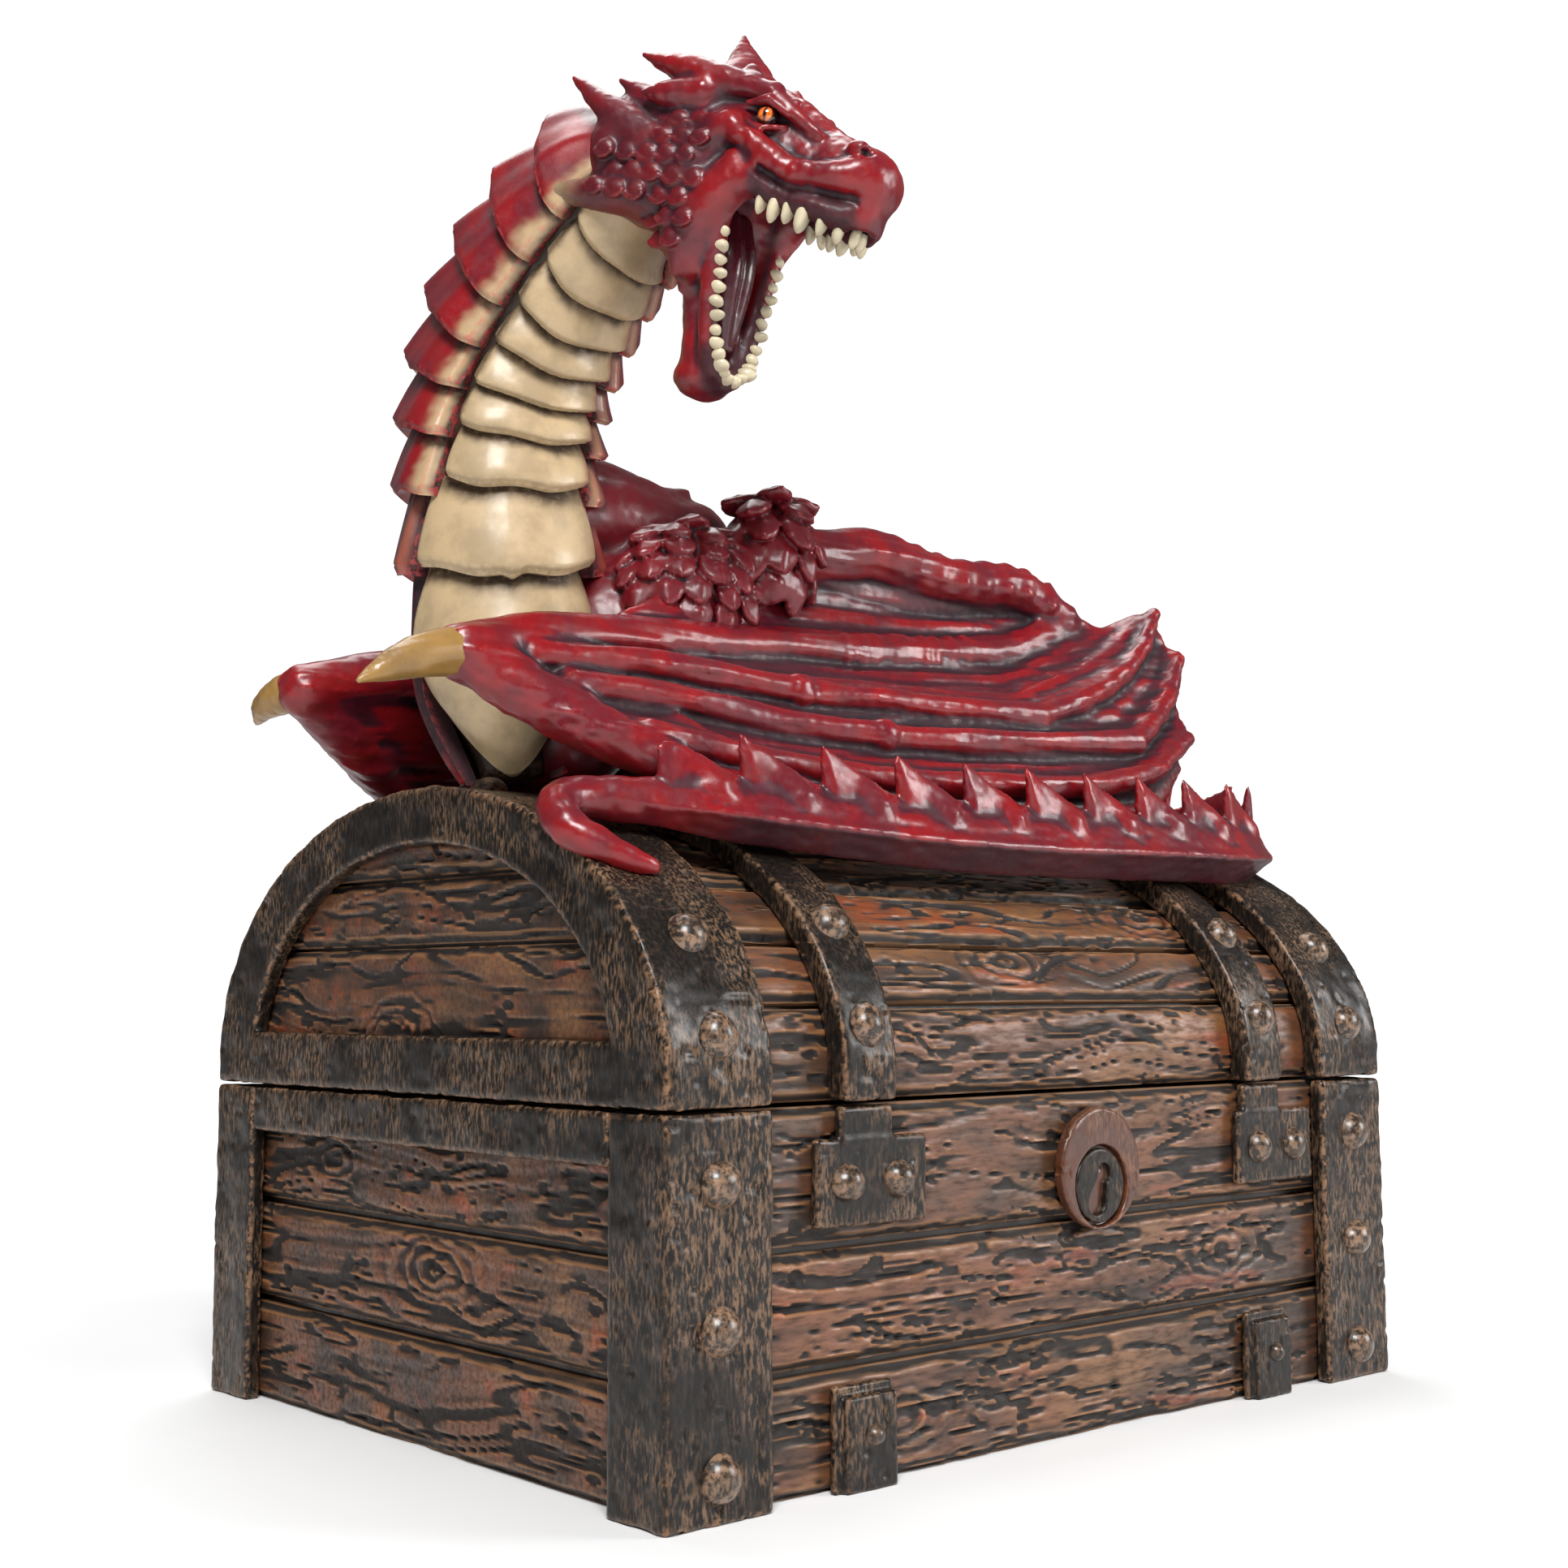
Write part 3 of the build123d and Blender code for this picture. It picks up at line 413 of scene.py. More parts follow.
def painted(name, base, deep, dry, wash=(0.02, 0.22), broad=(0.15, 0.9), rub=(-0.03, -0.16), rub_share=0.6,
            rough=(0.34, 0.55), coat=0.3, second=None, brush=None, glaze_and_shade=None, shine_level=0.4):
    """Cast resin painted by hand: a base coat, a dark wash in hollows, painted shade in broad hollows and
    wherever the shade attribute is set, and dry brushing on raised edges.
    """
    m = Mix(name)
    fine, wide = m.attribute("fine"), m.attribute("broad")
    patch = m.noise(5.0, detail=5.0)
    speck = m.noise(0.9, detail=3.0)
    colour = m.mix(m.ramp(patch, 0.35, 0.68), base, tuple(c * 0.72 for c in base))
    # The glaze colour lies in random clouds and, as painted shade, in broad hollows.
    if glaze_and_shade:
        clouds = m.ramp(m.noise(9.0, detail=3.0), 0.40, 0.64, 0.0, 0.6)
        colour = m.mix(m.math("MAXIMUM", clouds, m.ramp(wide, 0.0, 0.14, 0.0, 0.85)), colour, glaze_and_shade)
    if second:
        colour = m.mix(m.attribute("second"), colour, second)
    # Wash in fine hollows, with painted shade in broad hollows and from the shade attribute, all darkening
    # towards deep.
    wash_and_shade = m.math("MAXIMUM", m.ramp(fine, *wash), m.ramp(wide, *broad))
    wash_and_shade = m.math("MAXIMUM", wash_and_shade, m.attribute("shade"))
    wash_and_shade = m.math("MULTIPLY", wash_and_shade, m.ramp(speck, 0.2, 0.55, 0.72, 1.0))
    colour = m.mix(wash_and_shade, colour, deep)
    if brush:
        hairs = m.ramp(m.noise(0.42, detail=3.0, stretch=(1, 1, 0.3)), 0.42, 0.66)
        passes = m.ramp(m.noise(12.0, detail=3.0), 0.38, 0.6, 0.1, 0.9)
        colour = m.mix(m.math("MULTIPLY", hairs, passes), colour, brush)
    rubbed = m.math("MULTIPLY", m.ramp(fine, rub[0], rub[1], 0.0, rub_share), m.ramp(speck, 0.42, 0.62))
    colour = m.mix(rubbed, colour, dry)
    m.bump(m.math("ADD", m.math("MULTIPLY", speck, 0.5), m.noise(0.35, detail=2.0)), 0.06, 0.25)
    matt = m.math("MULTIPLY", wash_and_shade, 0.25)
    uneven = m.math("ADD", m.math("MULTIPLY", patch, 0.6), m.math("MULTIPLY", speck, 0.4))
    roughness = m.math("ADD", m.ramp(uneven, 0.35, 0.62, *rough), matt)
    lacquer = m.math("SUBTRACT", coat, m.math("MULTIPLY", wash_and_shade, coat * 0.85))
    return m.set(Base_Color=colour, Roughness=roughness, Coat_Weight=lacquer, Coat_Roughness=0.18,
                 Specular_IOR_Level=shine_level)


# Each paint has its base coat, the colour of the wash and painted shade in its hollows and the colour rubbed
# on its edges.
RED = painted("dragon_red_paint", (0.225, 0.005, 0.008), (0.014, 0.002, 0.006), (0.52, 0.05, 0.05),
              second=(0.43, 0.305, 0.17), glaze_and_shade=(0.062, 0.007, 0.016), wash=(0.01, 0.14), broad=(0.02, 0.42),
              rough=(0.26, 0.44), coat=0.26, rub_share=0.5)
DARK_RED = painted("dragon_scale_paint", (0.15, 0.006, 0.012), (0.010, 0.002, 0.005), (0.46, 0.075, 0.085),
                   wash=(0.01, 0.14), broad=(0.06, 0.5), rough=(0.32, 0.48), coat=0.22, rub_share=0.55)
CREAM = painted("dragon_cream_paint", (0.46, 0.335, 0.19), (0.035, 0.018, 0.008), (0.66, 0.50, 0.30),
                second=(0.20, 0.025, 0.02), wash=(0.03, 0.3), rough=(0.36, 0.52), coat=0.25, rub_share=0.4)
IVORY = painted("dragon_ivory_paint", (0.58, 0.50, 0.34), (0.07, 0.04, 0.02), (0.78, 0.72, 0.56),
                wash=(0.03, 0.16), rough=(0.3, 0.5))
OCHRE = painted("claw_ochre_paint", (0.28, 0.155, 0.042), (0.05, 0.02, 0.006), (0.50, 0.32, 0.12),
                rough=(0.33, 0.5))
MOUTH = painted("mouth_paint", (0.055, 0.004, 0.009), (0.010, 0.001, 0.003), (0.20, 0.03, 0.03),
                rough=(0.22, 0.36), coat=0.5)
GROOVE = painted("groove_paint", (0.035, 0.018, 0.008), (0.006, 0.004, 0.003), (0.16, 0.10, 0.05),
                 rough=(0.4, 0.6), coat=0.2)
IRON = painted("iron_paint", (0.006, 0.005, 0.0045), (0.002, 0.002, 0.002), (0.26, 0.14, 0.075),
               wash=(0.02, 0.2), rub=(-0.02, -0.10), rub_share=0.85, rough=(0.27, 0.46), coat=0.06,
               shine_level=0.28, brush=(0.17, 0.10, 0.058))
COPPER = painted("lock_copper_paint", (0.075, 0.022, 0.010), (0.008, 0.004, 0.003), (0.36, 0.16, 0.08),
                 rub=(-0.01, -0.06), rough=(0.28, 0.48), coat=0.35, brush=(0.17, 0.07, 0.03))
BRONZE = painted("rivet_bronze_paint", (0.020, 0.013, 0.009), (0.004, 0.003, 0.002), (0.34, 0.20, 0.12),
                 rub=(0.0, -0.06), rub_share=0.75, rough=(0.26, 0.42), coat=0.35, brush=(0.15, 0.092, 0.055))
CORE = painted("bare_dark_resin", (0.03, 0.021, 0.016), (0.006, 0.004, 0.003), (0.12, 0.08, 0.05), coat=0.1)


def wood_paint():
    """Dark stained resin wood with orange-brown dry brushing on the raised grain."""
    m = Mix("wood_paint")
    fine, wide = m.attribute("fine"), m.attribute("broad")
    speck = m.noise(0.8, stretch=(0.25, 1, 1))
    patch = m.noise(9.0, stretch=(0.35, 1, 1))
    tone = m.mix(m.ramp(patch, 0.39, 0.63), (0.155, 0.054, 0.020), (0.044, 0.021, 0.012))
    tan = m.ramp(m.noise(16.0, detail=3.0, stretch=(0.4, 1, 1)), 0.52, 0.74)
    tone = m.mix(tan, tone, (0.21, 0.094, 0.034))
    rust = m.ramp(m.noise(7.0, detail=3.0, stretch=(0.3, 1, 1)), 0.56, 0.72, 0.0, 0.7)
    tone = m.mix(rust, tone, (0.28, 0.052, 0.014))
    lift = m.math("MULTIPLY", m.ramp(m.attribute("height"), -0.20, 0.03), m.ramp(speck, 0.26, 0.6, 0.35, 1.0))
    colour = m.mix(lift, (0.012, 0.007, 0.005), tone)
    # Darker in fine and broad hollows: partly the stain in the carved grain, partly painted shade.
    colour = m.mix(m.ramp(fine, 0.02, 0.14), colour, (0.006, 0.005, 0.005))
    colour = m.mix(m.math("MULTIPLY", m.ramp(fine, -0.02, -0.10), 0.35), colour, (0.42, 0.20, 0.08))
    colour = m.mix(m.ramp(wide, 0.12, 0.5, 0.0, 0.75), colour, (0.010, 0.006, 0.005))
    m.bump(m.math("ADD", speck, m.math("MULTIPLY", m.noise(0.3, detail=2.0), 0.4)), 0.08, 0.35)
    dull = m.ramp(speck, 0.3, 0.7, 0.82, 0.58)
    roughness = m.math("SUBTRACT", dull, m.math("MULTIPLY", lift, 0.2))
    return m.set(Base_Color=colour, Roughness=roughness, Coat_Weight=m.math("MULTIPLY", lift, 0.22),
                 Coat_Roughness=0.3)


def eye_paint():
    """Amber iris with a black slit under clear lacquer."""
    m = Mix("eye_amber")
    ring = m.noise(0.4, detail=3.0)
    iris = m.mix(m.ramp(ring, 0.3, 0.7), (0.62, 0.05, 0.008), (0.85, 0.26, 0.02))
    colour = m.mix(m.attribute("slit"), iris, (0.006, 0.002, 0.002))
    m.bump(ring, 0.02, 0.2)
    return m.set(Base_Color=colour, Roughness=m.ramp(ring, 0.3, 0.7, 0.12, 0.2), Coat_Weight=1.0,
                 Coat_Roughness=0.04)


def plain(name, colour, rough, metal=0.0, speck_mm=0.7, bump_mm=0.03, spread=0.25, clear=0.0):
    """A moulded or turned material with slight wear in its colour and shine."""
    m = Mix(name)
    speck = m.noise(speck_mm)
    patch = m.noise(speck_mm * 9, detail=3.0)
    worn = m.mix(m.ramp(patch, 0.35, 0.7), colour, tuple(c * (1 - spread) for c in colour))
    worn = m.mix(m.ramp(speck, 0.6, 0.75, 0.0, 0.5), worn, tuple(min(1, c * (1 + spread)) for c in colour))
    m.bump(speck, bump_mm, 0.4)
    roughness = m.ramp(patch, 0.3, 0.7, rough * 0.8, min(rough * 1.3, 1.0))
    return m.set(Base_Color=worn, Roughness=roughness, Metallic=metal, Transmission_Weight=clear)


WOOD = wood_paint()
EYE = eye_paint()
STEEL = plain("pin_steel", (0.60, 0.61, 0.62), 0.26, metal=1.0, speck_mm=0.4)
BLACK = plain("fitting_black", (0.022, 0.023, 0.025), 0.42)
RUBBER = plain("gasket_rubber", (0.014, 0.014, 0.014), 0.75, bump_mm=0.06)
HOSE = plain("hose_silicone", (0.55, 0.62, 0.60), 0.3, clear=0.55, bump_mm=0.01)
GRIT = plain("stone_grit", (0.30, 0.42, 0.50), 0.92, speck_mm=0.45, bump_mm=0.5, spread=0.5)


# ---------------------------------------------------------------- wood
RIGHT, BACK, UP = np.eye(3)
# How deep boards are sunk in what carries them, and the gaps at a seam and at the ends, in millimetres.
BOARD_SINK = 0.5
BASE_SINK = 0.55
OPEN_SEAM = 0.45
END_GAP = 0.02


def grain(p, seed):
    """How high carved wood stands at points p whose first column runs along the grain, in millimetres."""
    warp = 2.2 * noise(p, (26, 9, 9), seed) + 0.8 * noise(p, (9, 4, 4), seed + 1)
    q = p.copy()
    q[:, 1] += warp
    rings = noise(q, (34, 0.62, 5), seed + 2)
    rings2 = noise(q, (15, 0.36, 5), seed + 3)
    streak = np.abs(noise(q, (20, 1.5, 5), seed + 4))
    height = 0.11 * rings + 0.07 * rings2 + 0.07 * noise(p, (12, 3.6, 6), seed + 6)
    height -= 0.40 * smoothstep(0.17, 0.02, streak) * smoothstep(-0.4, 0.0, noise(p, (12, 3, 5), seed + 5))
    thin = np.abs(noise(q, (12, 1.1, 5), seed + 7))
    height -= 0.30 * smoothstep(0.14, 0.02, thin) * smoothstep(-0.1, 0.25, noise(p, (8, 2.5, 5), seed + 8))
    gouge = smoothstep(0.28, 0.56, noise(q, (3.2, 0.75, 5), seed + 9))
    height -= 0.36 * gouge * smoothstep(-0.1, 0.25, noise(p, (11, 4, 5), seed + 10))
    return height


def knots(p, places):
    """Rings round each (along, across, radius) knot: the height change."""
    height = np.zeros(len(p))
    for u, v, r in places:
        bent = p * vec(1, 1, 0) + vec(0, 0, u)
        far = np.hypot((p[:, 0] - u) * 0.42, p[:, 1] - v)
        far = far + 0.75 * noise(bent, 3.4, 7) + 0.3 * noise(bent, 1.4, 8)
        inside = smoothstep(r * 2.3, r * 0.3, far)
        height += inside * (0.22 * np.cos(far * 4.2) - 0.22 * smoothstep(r * 0.36, 0.0, far))
    return height


def board(along, across, out, corner, length, width, thick, seed, wave=None, knot=()):
    """One plank: a dense face with carved grain and worn edges, plain sides and back. wave bends it."""
    step = 0.36
    n, m = max(int(length / step), 8), max(int(width / step), 6)
    u = np.linspace(0, length, n)[:, None] + np.zeros(m)
    v = np.linspace(0, width, m)[None, :] + np.zeros((n, 1))
    flat = np.stack([u.ravel(), v.ravel(), np.full(u.size, seed * 13.7)], 1)
    height = grain(flat, seed) + knots(flat, knot)
    edge = np.minimum(np.minimum(flat[:, 0], length - flat[:, 0]), np.minimum(flat[:, 1], width - flat[:, 1]))
    ragged = 0.5 + 0.35 * noise(flat, (3.5, 3.5, 1), seed + 9)
    height = height - 1.05 * smoothstep(ragged + 0.75, 0.0, edge)
    height = np.clip(height, -1.5, 0.62)
    face = corner + flat[:, :1] * along + flat[:, 1:2] * across
    co = np.vstack([face + height[:, None] * out, face - thick * out])
    rim = np.concatenate([
        np.arange(m),
        np.arange(m - 1, n * m, m)[1:],
        np.arange(n * m - 2, (n - 1) * m - 1, -1),
        np.arange((n - 2) * m, 0, -m),
    ])
    nxt = np.roll(rim, -1)
    side = np.stack([rim, rim + n * m, nxt + n * m, nxt], 1)
    top = grid_faces(n, m)
    faces = np.vstack([top, (top + n * m)[:, ::-1], side])
    if signed_volume(co - co.mean(0), faces) < 0:
        faces = faces[:, ::-1]
    if wave:
        co = wave(co)
    return co, faces, np.concatenate([height, np.full(n * m, -0.6)])


def boards(name, parts, body, node):
    """Several planks as one piece."""
    co, faces = joined([(co, faces) for co, faces, _ in parts])
    height = np.concatenate([values for _, _, values in parts])
    piece(name, co, faces, body, WOOD, (node,), {"height": height}, sharp=50, hollow_rounds=(3, 14))


BASE_SEAMS_Z = (0.0, 13.9, 27.9, 44.3)
BASE_KNOTS = {
    ("front_planks", 0): [(36.0, 6.5, 2.6)],
    ("front_planks", 1): [(100.5, 7.0, 3.1)],
    ("back_planks", 0): [(95.0, 6.0, 2.8)],
    ("back_planks", 2): [(40.0, 7.0, 3.4)],
    ("left_end_planks", 1): [(52.0, 8.0, 3.2)],
    ("left_end_planks", 2): [(24.0, 6.6, 2.4)],
    ("right_end_planks", 0): [(60.0, 6.0, 3.0)],
}


def base_wood():
    """Planks on the four sides of the base."""
    sides = (("front_planks", RIGHT, -BACK), ("back_planks", -RIGHT, BACK),
             ("left_end_planks", -BACK, -RIGHT), ("right_end_planks", BACK, RIGHT))
    for s, (name, along, out) in enumerate(sides):
        low, high = box_mm(name)
        length = abs((high - low) @ along)
        start = np.where(along > 0, low, high) * np.abs(along)
        start = start + np.where(out > 0, high, low) * np.abs(out)
        made = []
        for i, (z0, z1) in enumerate(zip(BASE_SEAMS_Z, BASE_SEAMS_Z[1:])):
            z0 = z0 + (OPEN_SEAM if i else END_GAP)
            corner = start + vec(0, 0, z0) - BASE_SINK * out
            width = z1 - OPEN_SEAM * (i < 2) - z0
            made.append(board(along, UP, out, corner, length, width, thick=1.8, seed=11 * s + i + 3,
                              knot=BASE_KNOTS.get((name, i), ())))
        boards(name + "_wood", made, "base", name)


# The lid's arch, half an ellipse on straight sides, as the strap's box gives it.
ARCH_HALF, STRAP_TOP = box_mm("lid_strap_left")[1][1:]
SPRING_Z = 48.0
ARCH_RISE = STRAP_TOP - SPRING_Z
LID_INSET = 3.0
PANEL_INSET = 5.6
PANEL_SEAMS_Z = (63.6, 72.6)
STAVES = 12
STAVE_KNOTS = {1: [(62.0, 6.0, 2.6)], 2: [(98.0, 6.0, 3.0)], 9: [(50.0, 6.0, 3.0)]}


def arch(inset, share):
    """A point (y, z) on the lid's arch and the way out. share goes from 0 at the front to 1 at the back."""
    a = np.pi * np.asarray(share, float)
    half, rise = ARCH_HALF - inset, ARCH_RISE - inset
    y, z = -half * np.cos(a), SPRING_Z + rise * np.sin(a)
    ny, nz = -np.cos(a) * rise, np.sin(a) * half
    size = np.hypot(ny, nz)
    return y, z, ny / size, nz / size


def ellipse_distance(y, z, half, rise):
    """Roughly how far a point is outside half an ellipse that stands on the spring line."""
    up = np.maximum(z - SPRING_Z, 0)
    far = np.sqrt((y / half) ** 2 + (up / rise) ** 2)
    steep = np.sqrt((y / half ** 2) ** 2 + (up / rise ** 2) ** 2)
    return far * (far - 1) / np.maximum(steep, 1e-6)


def arch_distance(y, z, inset):
    """Roughly how far a point is outside the lid's arch, inset inwards."""
    half = ARCH_HALF - inset
    return np.where(z > SPRING_Z, ellipse_distance(y, z, half, ARCH_RISE - inset), np.abs(y) - half)


def lid_top(x, y, z):
    """How far a point is outside the lid's wood, which the dragon rests on."""
    return arch_distance(y, z, LID_INSET - 0.3) + 0 * x


def bent(share0, share1, width, lead):
    """A function that bends a flat stave onto the arch. Below the spring line the stave is straight."""
    def wave(co):
        v = (co[:, 1] - lead) / width
        share = share0 + (share1 - share0) * np.clip(v, 0, 1)
        y, z, ny, nz = arch(LID_INSET, share)
        extra = (v - np.clip(v, 0, 1)) * width
        z = z + np.where(share0 == 0, extra, -extra)
        return np.stack([co[:, 0], y + ny * co[:, 2], z + nz * co[:, 2]], 1)
    return wave


def lid_staves():
    """The curved boards over the lid."""
    low, high = box_mm("lid_planks")
    gap = OPEN_SEAM * 0.9
    made = []
    for i in range(STAVES):
        share0, share1 = i / STAVES, (i + 1) / STAVES
        y, z, _, _ = arch(LID_INSET, np.linspace(share0, share1, 30))
        width = np.hypot(np.diff(y), np.diff(z)).sum()
        straight = SPRING_Z - low[2] if i in (0, STAVES - 1) else 0.0
        first = END_GAP if i == 0 else gap
        last = END_GAP if i in (0, STAVES - 1) else gap
        made.append(board(RIGHT, BACK, UP, vec(low[0], first, -BOARD_SINK), high[0] - low[0],
                          width + straight - gap - last, thick=1.9, seed=70 + i,
                          wave=bent(share0, share1, width, straight if i == 0 else 0.0),
                          knot=STAVE_KNOTS.get(i, ())))
    boards("lid_staves", made, "lid", "lid_planks")


def lid_panels():
    """The boards in the lid's arched ends."""
    half_width, rise = ARCH_HALF - PANEL_INSET, ARCH_RISE - PANEL_INSET
    for s, (name, out) in enumerate((("lid_end_planks_left", -RIGHT), ("lid_end_planks_right", RIGHT))):
        low, high = box_mm(name)
        seams = (low[2], *PANEL_SEAMS_Z, high[2])
        made = []
        for i, (z0, z1) in enumerate(zip(seams, seams[1:])):
            half = math.sqrt(max(1 - ((z0 - SPRING_Z) / rise) ** 2, 0)) * half_width
            half = half if i else half_width
            gap = OPEN_SEAM * (i > 0)
            corner = vec(high[0] if out[0] > 0 else low[0], -out[0] * half, z0 + gap) - BOARD_SINK * out
            knot = () if i else ((2 * half * 0.42, 8.0, 3.0),)
            co, faces, values = board(out[0] * BACK, UP, out, corner, 2 * half, z1 - z0 - gap, thick=1.6,
                                      seed=140 + 9 * s + i, knot=knot)
            top = (rise - 0.1) * np.sqrt(np.clip(1 - (co[:, 1] / half_width) ** 2, 0, 1)) + SPRING_Z
            co[:, 2] = np.minimum(co[:, 2], np.maximum(top, low[2] + 0.5))
            made.append((co, faces, values))
        boards(name + "_wood", made, "lid", name)


# ---------------------------------------------------------------- irons and fittings
def hammered(co, faces, seed, depth):
    """Cast iron's surface: soft hammer marks and small pits."""
    wave = depth * noise(co, 2.6, seed) + 0.5 * depth * noise(co, 1.2, seed + 1)
    pits = 0.22 * smoothstep(0.45, 0.85, noise(co, 1.5, seed + 2))
    return roughened(co, faces, wave - pits)


def iron(node, shapes, body, seed, step=0.36, material=IRON, depth=0.12):
    """An iron piece in place of a CAD node. shapes fills a block of clay between the node's corners."""
    low, high = box_mm(node)
    clay = Clay(low - 1.5, high + 1.5, step)
    shapes(clay, low, high)
    co, faces = clay.cast(1)
    co = hammered(co, faces, seed, depth)
    piece(node + "_cast", co, faces, body, material, (node,), hollow_rounds=(4, 18))


def corner_iron(sx, sy):
    """An L-shaped post: a leg on the front or back and one on the end."""
    def shapes(clay, low, high):
        leg = 2.4
        face_low, face_high = low.copy(), high.copy()
        end_low, end_high = low.copy(), high.copy()
        if sy < 0:
            face_high[1] = low[1] + leg
        else:
            face_low[1] = high[1] - leg
        if sx < 0:
            end_high[0] = low[0] + leg
        else:
            end_low[0] = high[0] - leg
        clay.brick(face_low, face_high, 0.55)
        clay.brick(end_low, end_high, 0.55)
    return shapes


def end_rail(clay, low, high):
    """The bar across the top of an end."""
    clay.brick(low, high, 0.5)


def front_plate(strap):
    """A wide foot under an upright as wide as the strap that meets it."""
    s_low, s_high = box_mm(strap)
    foot = 10.4

    def shapes(clay, low, high):
        clay.brick(low, vec(high[0], high[1], low[2] + foot), 0.45)
        clay.brick(vec(s_low[0], low[1], low[2] + foot - 1), vec(s_high[0], high[1], high[2]), 0.4, 0.6)
    return shapes


def bottom_bracket(clay, low, high):
    """A stepped bracket: a thin back plate and a thicker block in front."""
    plate, side, top = 1.1, 1.0, 1.3
    clay.brick(vec(low[0], high[1] - plate, low[2]), high, 0.35)
    clay.brick(vec(low[0] + side, low[1], low[2]), vec(high[0], high[1] - 0.5, high[2] - top), 0.4, 0.15)


def base_irons():
    """Corner posts, end rails, strap plates and bottom brackets."""
    corners = [(y, x) for y in ("front", "back") for x in ("left", "right")]
    for i, (y, x) in enumerate(corners):
        shapes = corner_iron(-1 if x == "left" else 1, -1 if y == "front" else 1)
        iron(f"corner_iron_{y}_{x}", shapes, "base", seed=200 + i)
    for i, side in enumerate(("left", "right")):
        iron(f"base_end_rail_{side}", end_rail, "base", seed=210 + i)
    for i, side in enumerate(("left", "right")):
        plate = front_plate(f"lid_strap_{side}")
        iron(f"front_plate_{side}", plate, "base", seed=220 + i, step=0.3, depth=0.08)
        iron(f"bottom_bracket_{side}", bottom_bracket, "base", seed=230 + i, step=0.28, depth=0.08)


def rounded(*sides, edge):
    """Where all sides are inside, with rounded edges."""
    over = np.sqrt(sum(np.maximum(s + edge, 0) ** 2 for s in sides))
    under = sides[0] + edge
    for s in sides[1:]:
        under = np.maximum(under, s + edge)
    return over + np.minimum(under, 0) - edge


def end_iron(out):
    """A band over the arch's end and an arched frame with a sill, flat on the end that faces out."""
    def shapes(clay, low, high):
        x_end = low[0] if out < 0 else high[0]
        thick, sill, post, crown = 2.5, 7.4, 10.4, 7.2

        def band(x, y, z):
            return rounded(arch_distance(y, z, 0), -arch_distance(y, z, LID_INSET + 0.3), low[2] - z,
                           low[0] - x, x - high[0], edge=0.5)

        def frame_ring(x, y, z):
            hole = ellipse_distance(y, z, ARCH_HALF - post, ARCH_RISE - crown)
            hole = np.maximum(hole, low[2] + sill - z)
            return rounded(arch_distance(y, z, 0), -hole, low[2] - z, (x - x_end) * out,
                           (x_end - out * thick - x) * out, edge=0.5)

        clay.put_field(band)
        clay.put_field(frame_ring, 0.5)
    return shapes


def strap(clay, low, high):
    """An iron band over the lid."""
    def field(x, y, z):
        return rounded(arch_distance(y, z, 0), -arch_distance(y, z, LID_INSET + 0.4), low[2] - z,
                       low[0] - x, x - high[0], edge=0.55)

    clay.put_field(field)


def lid_irons():
    """The end irons and the two straps."""
    for i, (side, out) in enumerate((("left", -1), ("right", 1))):
        iron(f"lid_end_iron_{side}", end_iron(out), "lid", seed=240 + i, step=0.42)
        iron(f"lid_strap_{side}", strap, "lid", seed=250 + i)


def islands(ob):
    """The vertex positions of each separate solid of a CAD node, in millimetres."""
    co = np.array([v.co for v in ob.data.vertices]) / MM
    first = {}
    same = np.zeros(len(co), int)
    for i, k in enumerate(map(tuple, np.round(co, 3))):
        same[i] = first.setdefault(k, i)
    ends = np.array([e.vertices[:] for e in ob.data.edges])
    a, b = same[ends[:, 0]], same[ends[:, 1]]
    label = same.copy()
    before = None
    while before is None or (label != before).any():
        before = label.copy()
        low = np.minimum(label[a], label[b])
        np.minimum.at(label, a, low)
        np.minimum.at(label, b, low)
        label = label[label]
    label = label[same]
    return [co[label == k] for k in np.unique(label)]


DOME = ((0.0, 1.0), (0.22, 0.975), (0.42, 0.9), (0.6, 0.78), (0.75, 0.61), (0.87, 0.40), (0.95, 0.2),
        (1.0, 0.04), (1.03, -0.06), (1.05, -0.30))


def dome(at, normal, r, rise, seed):
    """A rivet head: a slightly uneven dome on a thin worn collar. DOME has its shares of r and rise."""
    rng = np.random.default_rng(seed)
    n = unit(normal)
    side = unit(np.cross(n, vec(0.31, 0.17, 0.93)))
    other = np.cross(n, side)
    turn = np.linspace(0, 2 * np.pi, 28, endpoint=False)
    wobble = 1 + 0.03 * np.sin(turn * 2 + rng.uniform(0, 6)) + 0.02 * np.sin(turn * 3 + rng.uniform(0, 6))
    lean = rng.uniform(-0.06, 0.06, 2)
    rings = []
    for wide, h in DOME:
        ring = max(wide, 0.001) * r * wobble
        shift = h * rise * lean
        u = np.outer(ring * np.cos(turn) + shift[0], side)
        v = np.outer(ring * np.sin(turn) + shift[1], other)
        rings.append(at + u + v + n * (h * rise))
    return np.vstack(rings), tube_faces(len(DOME), len(turn))


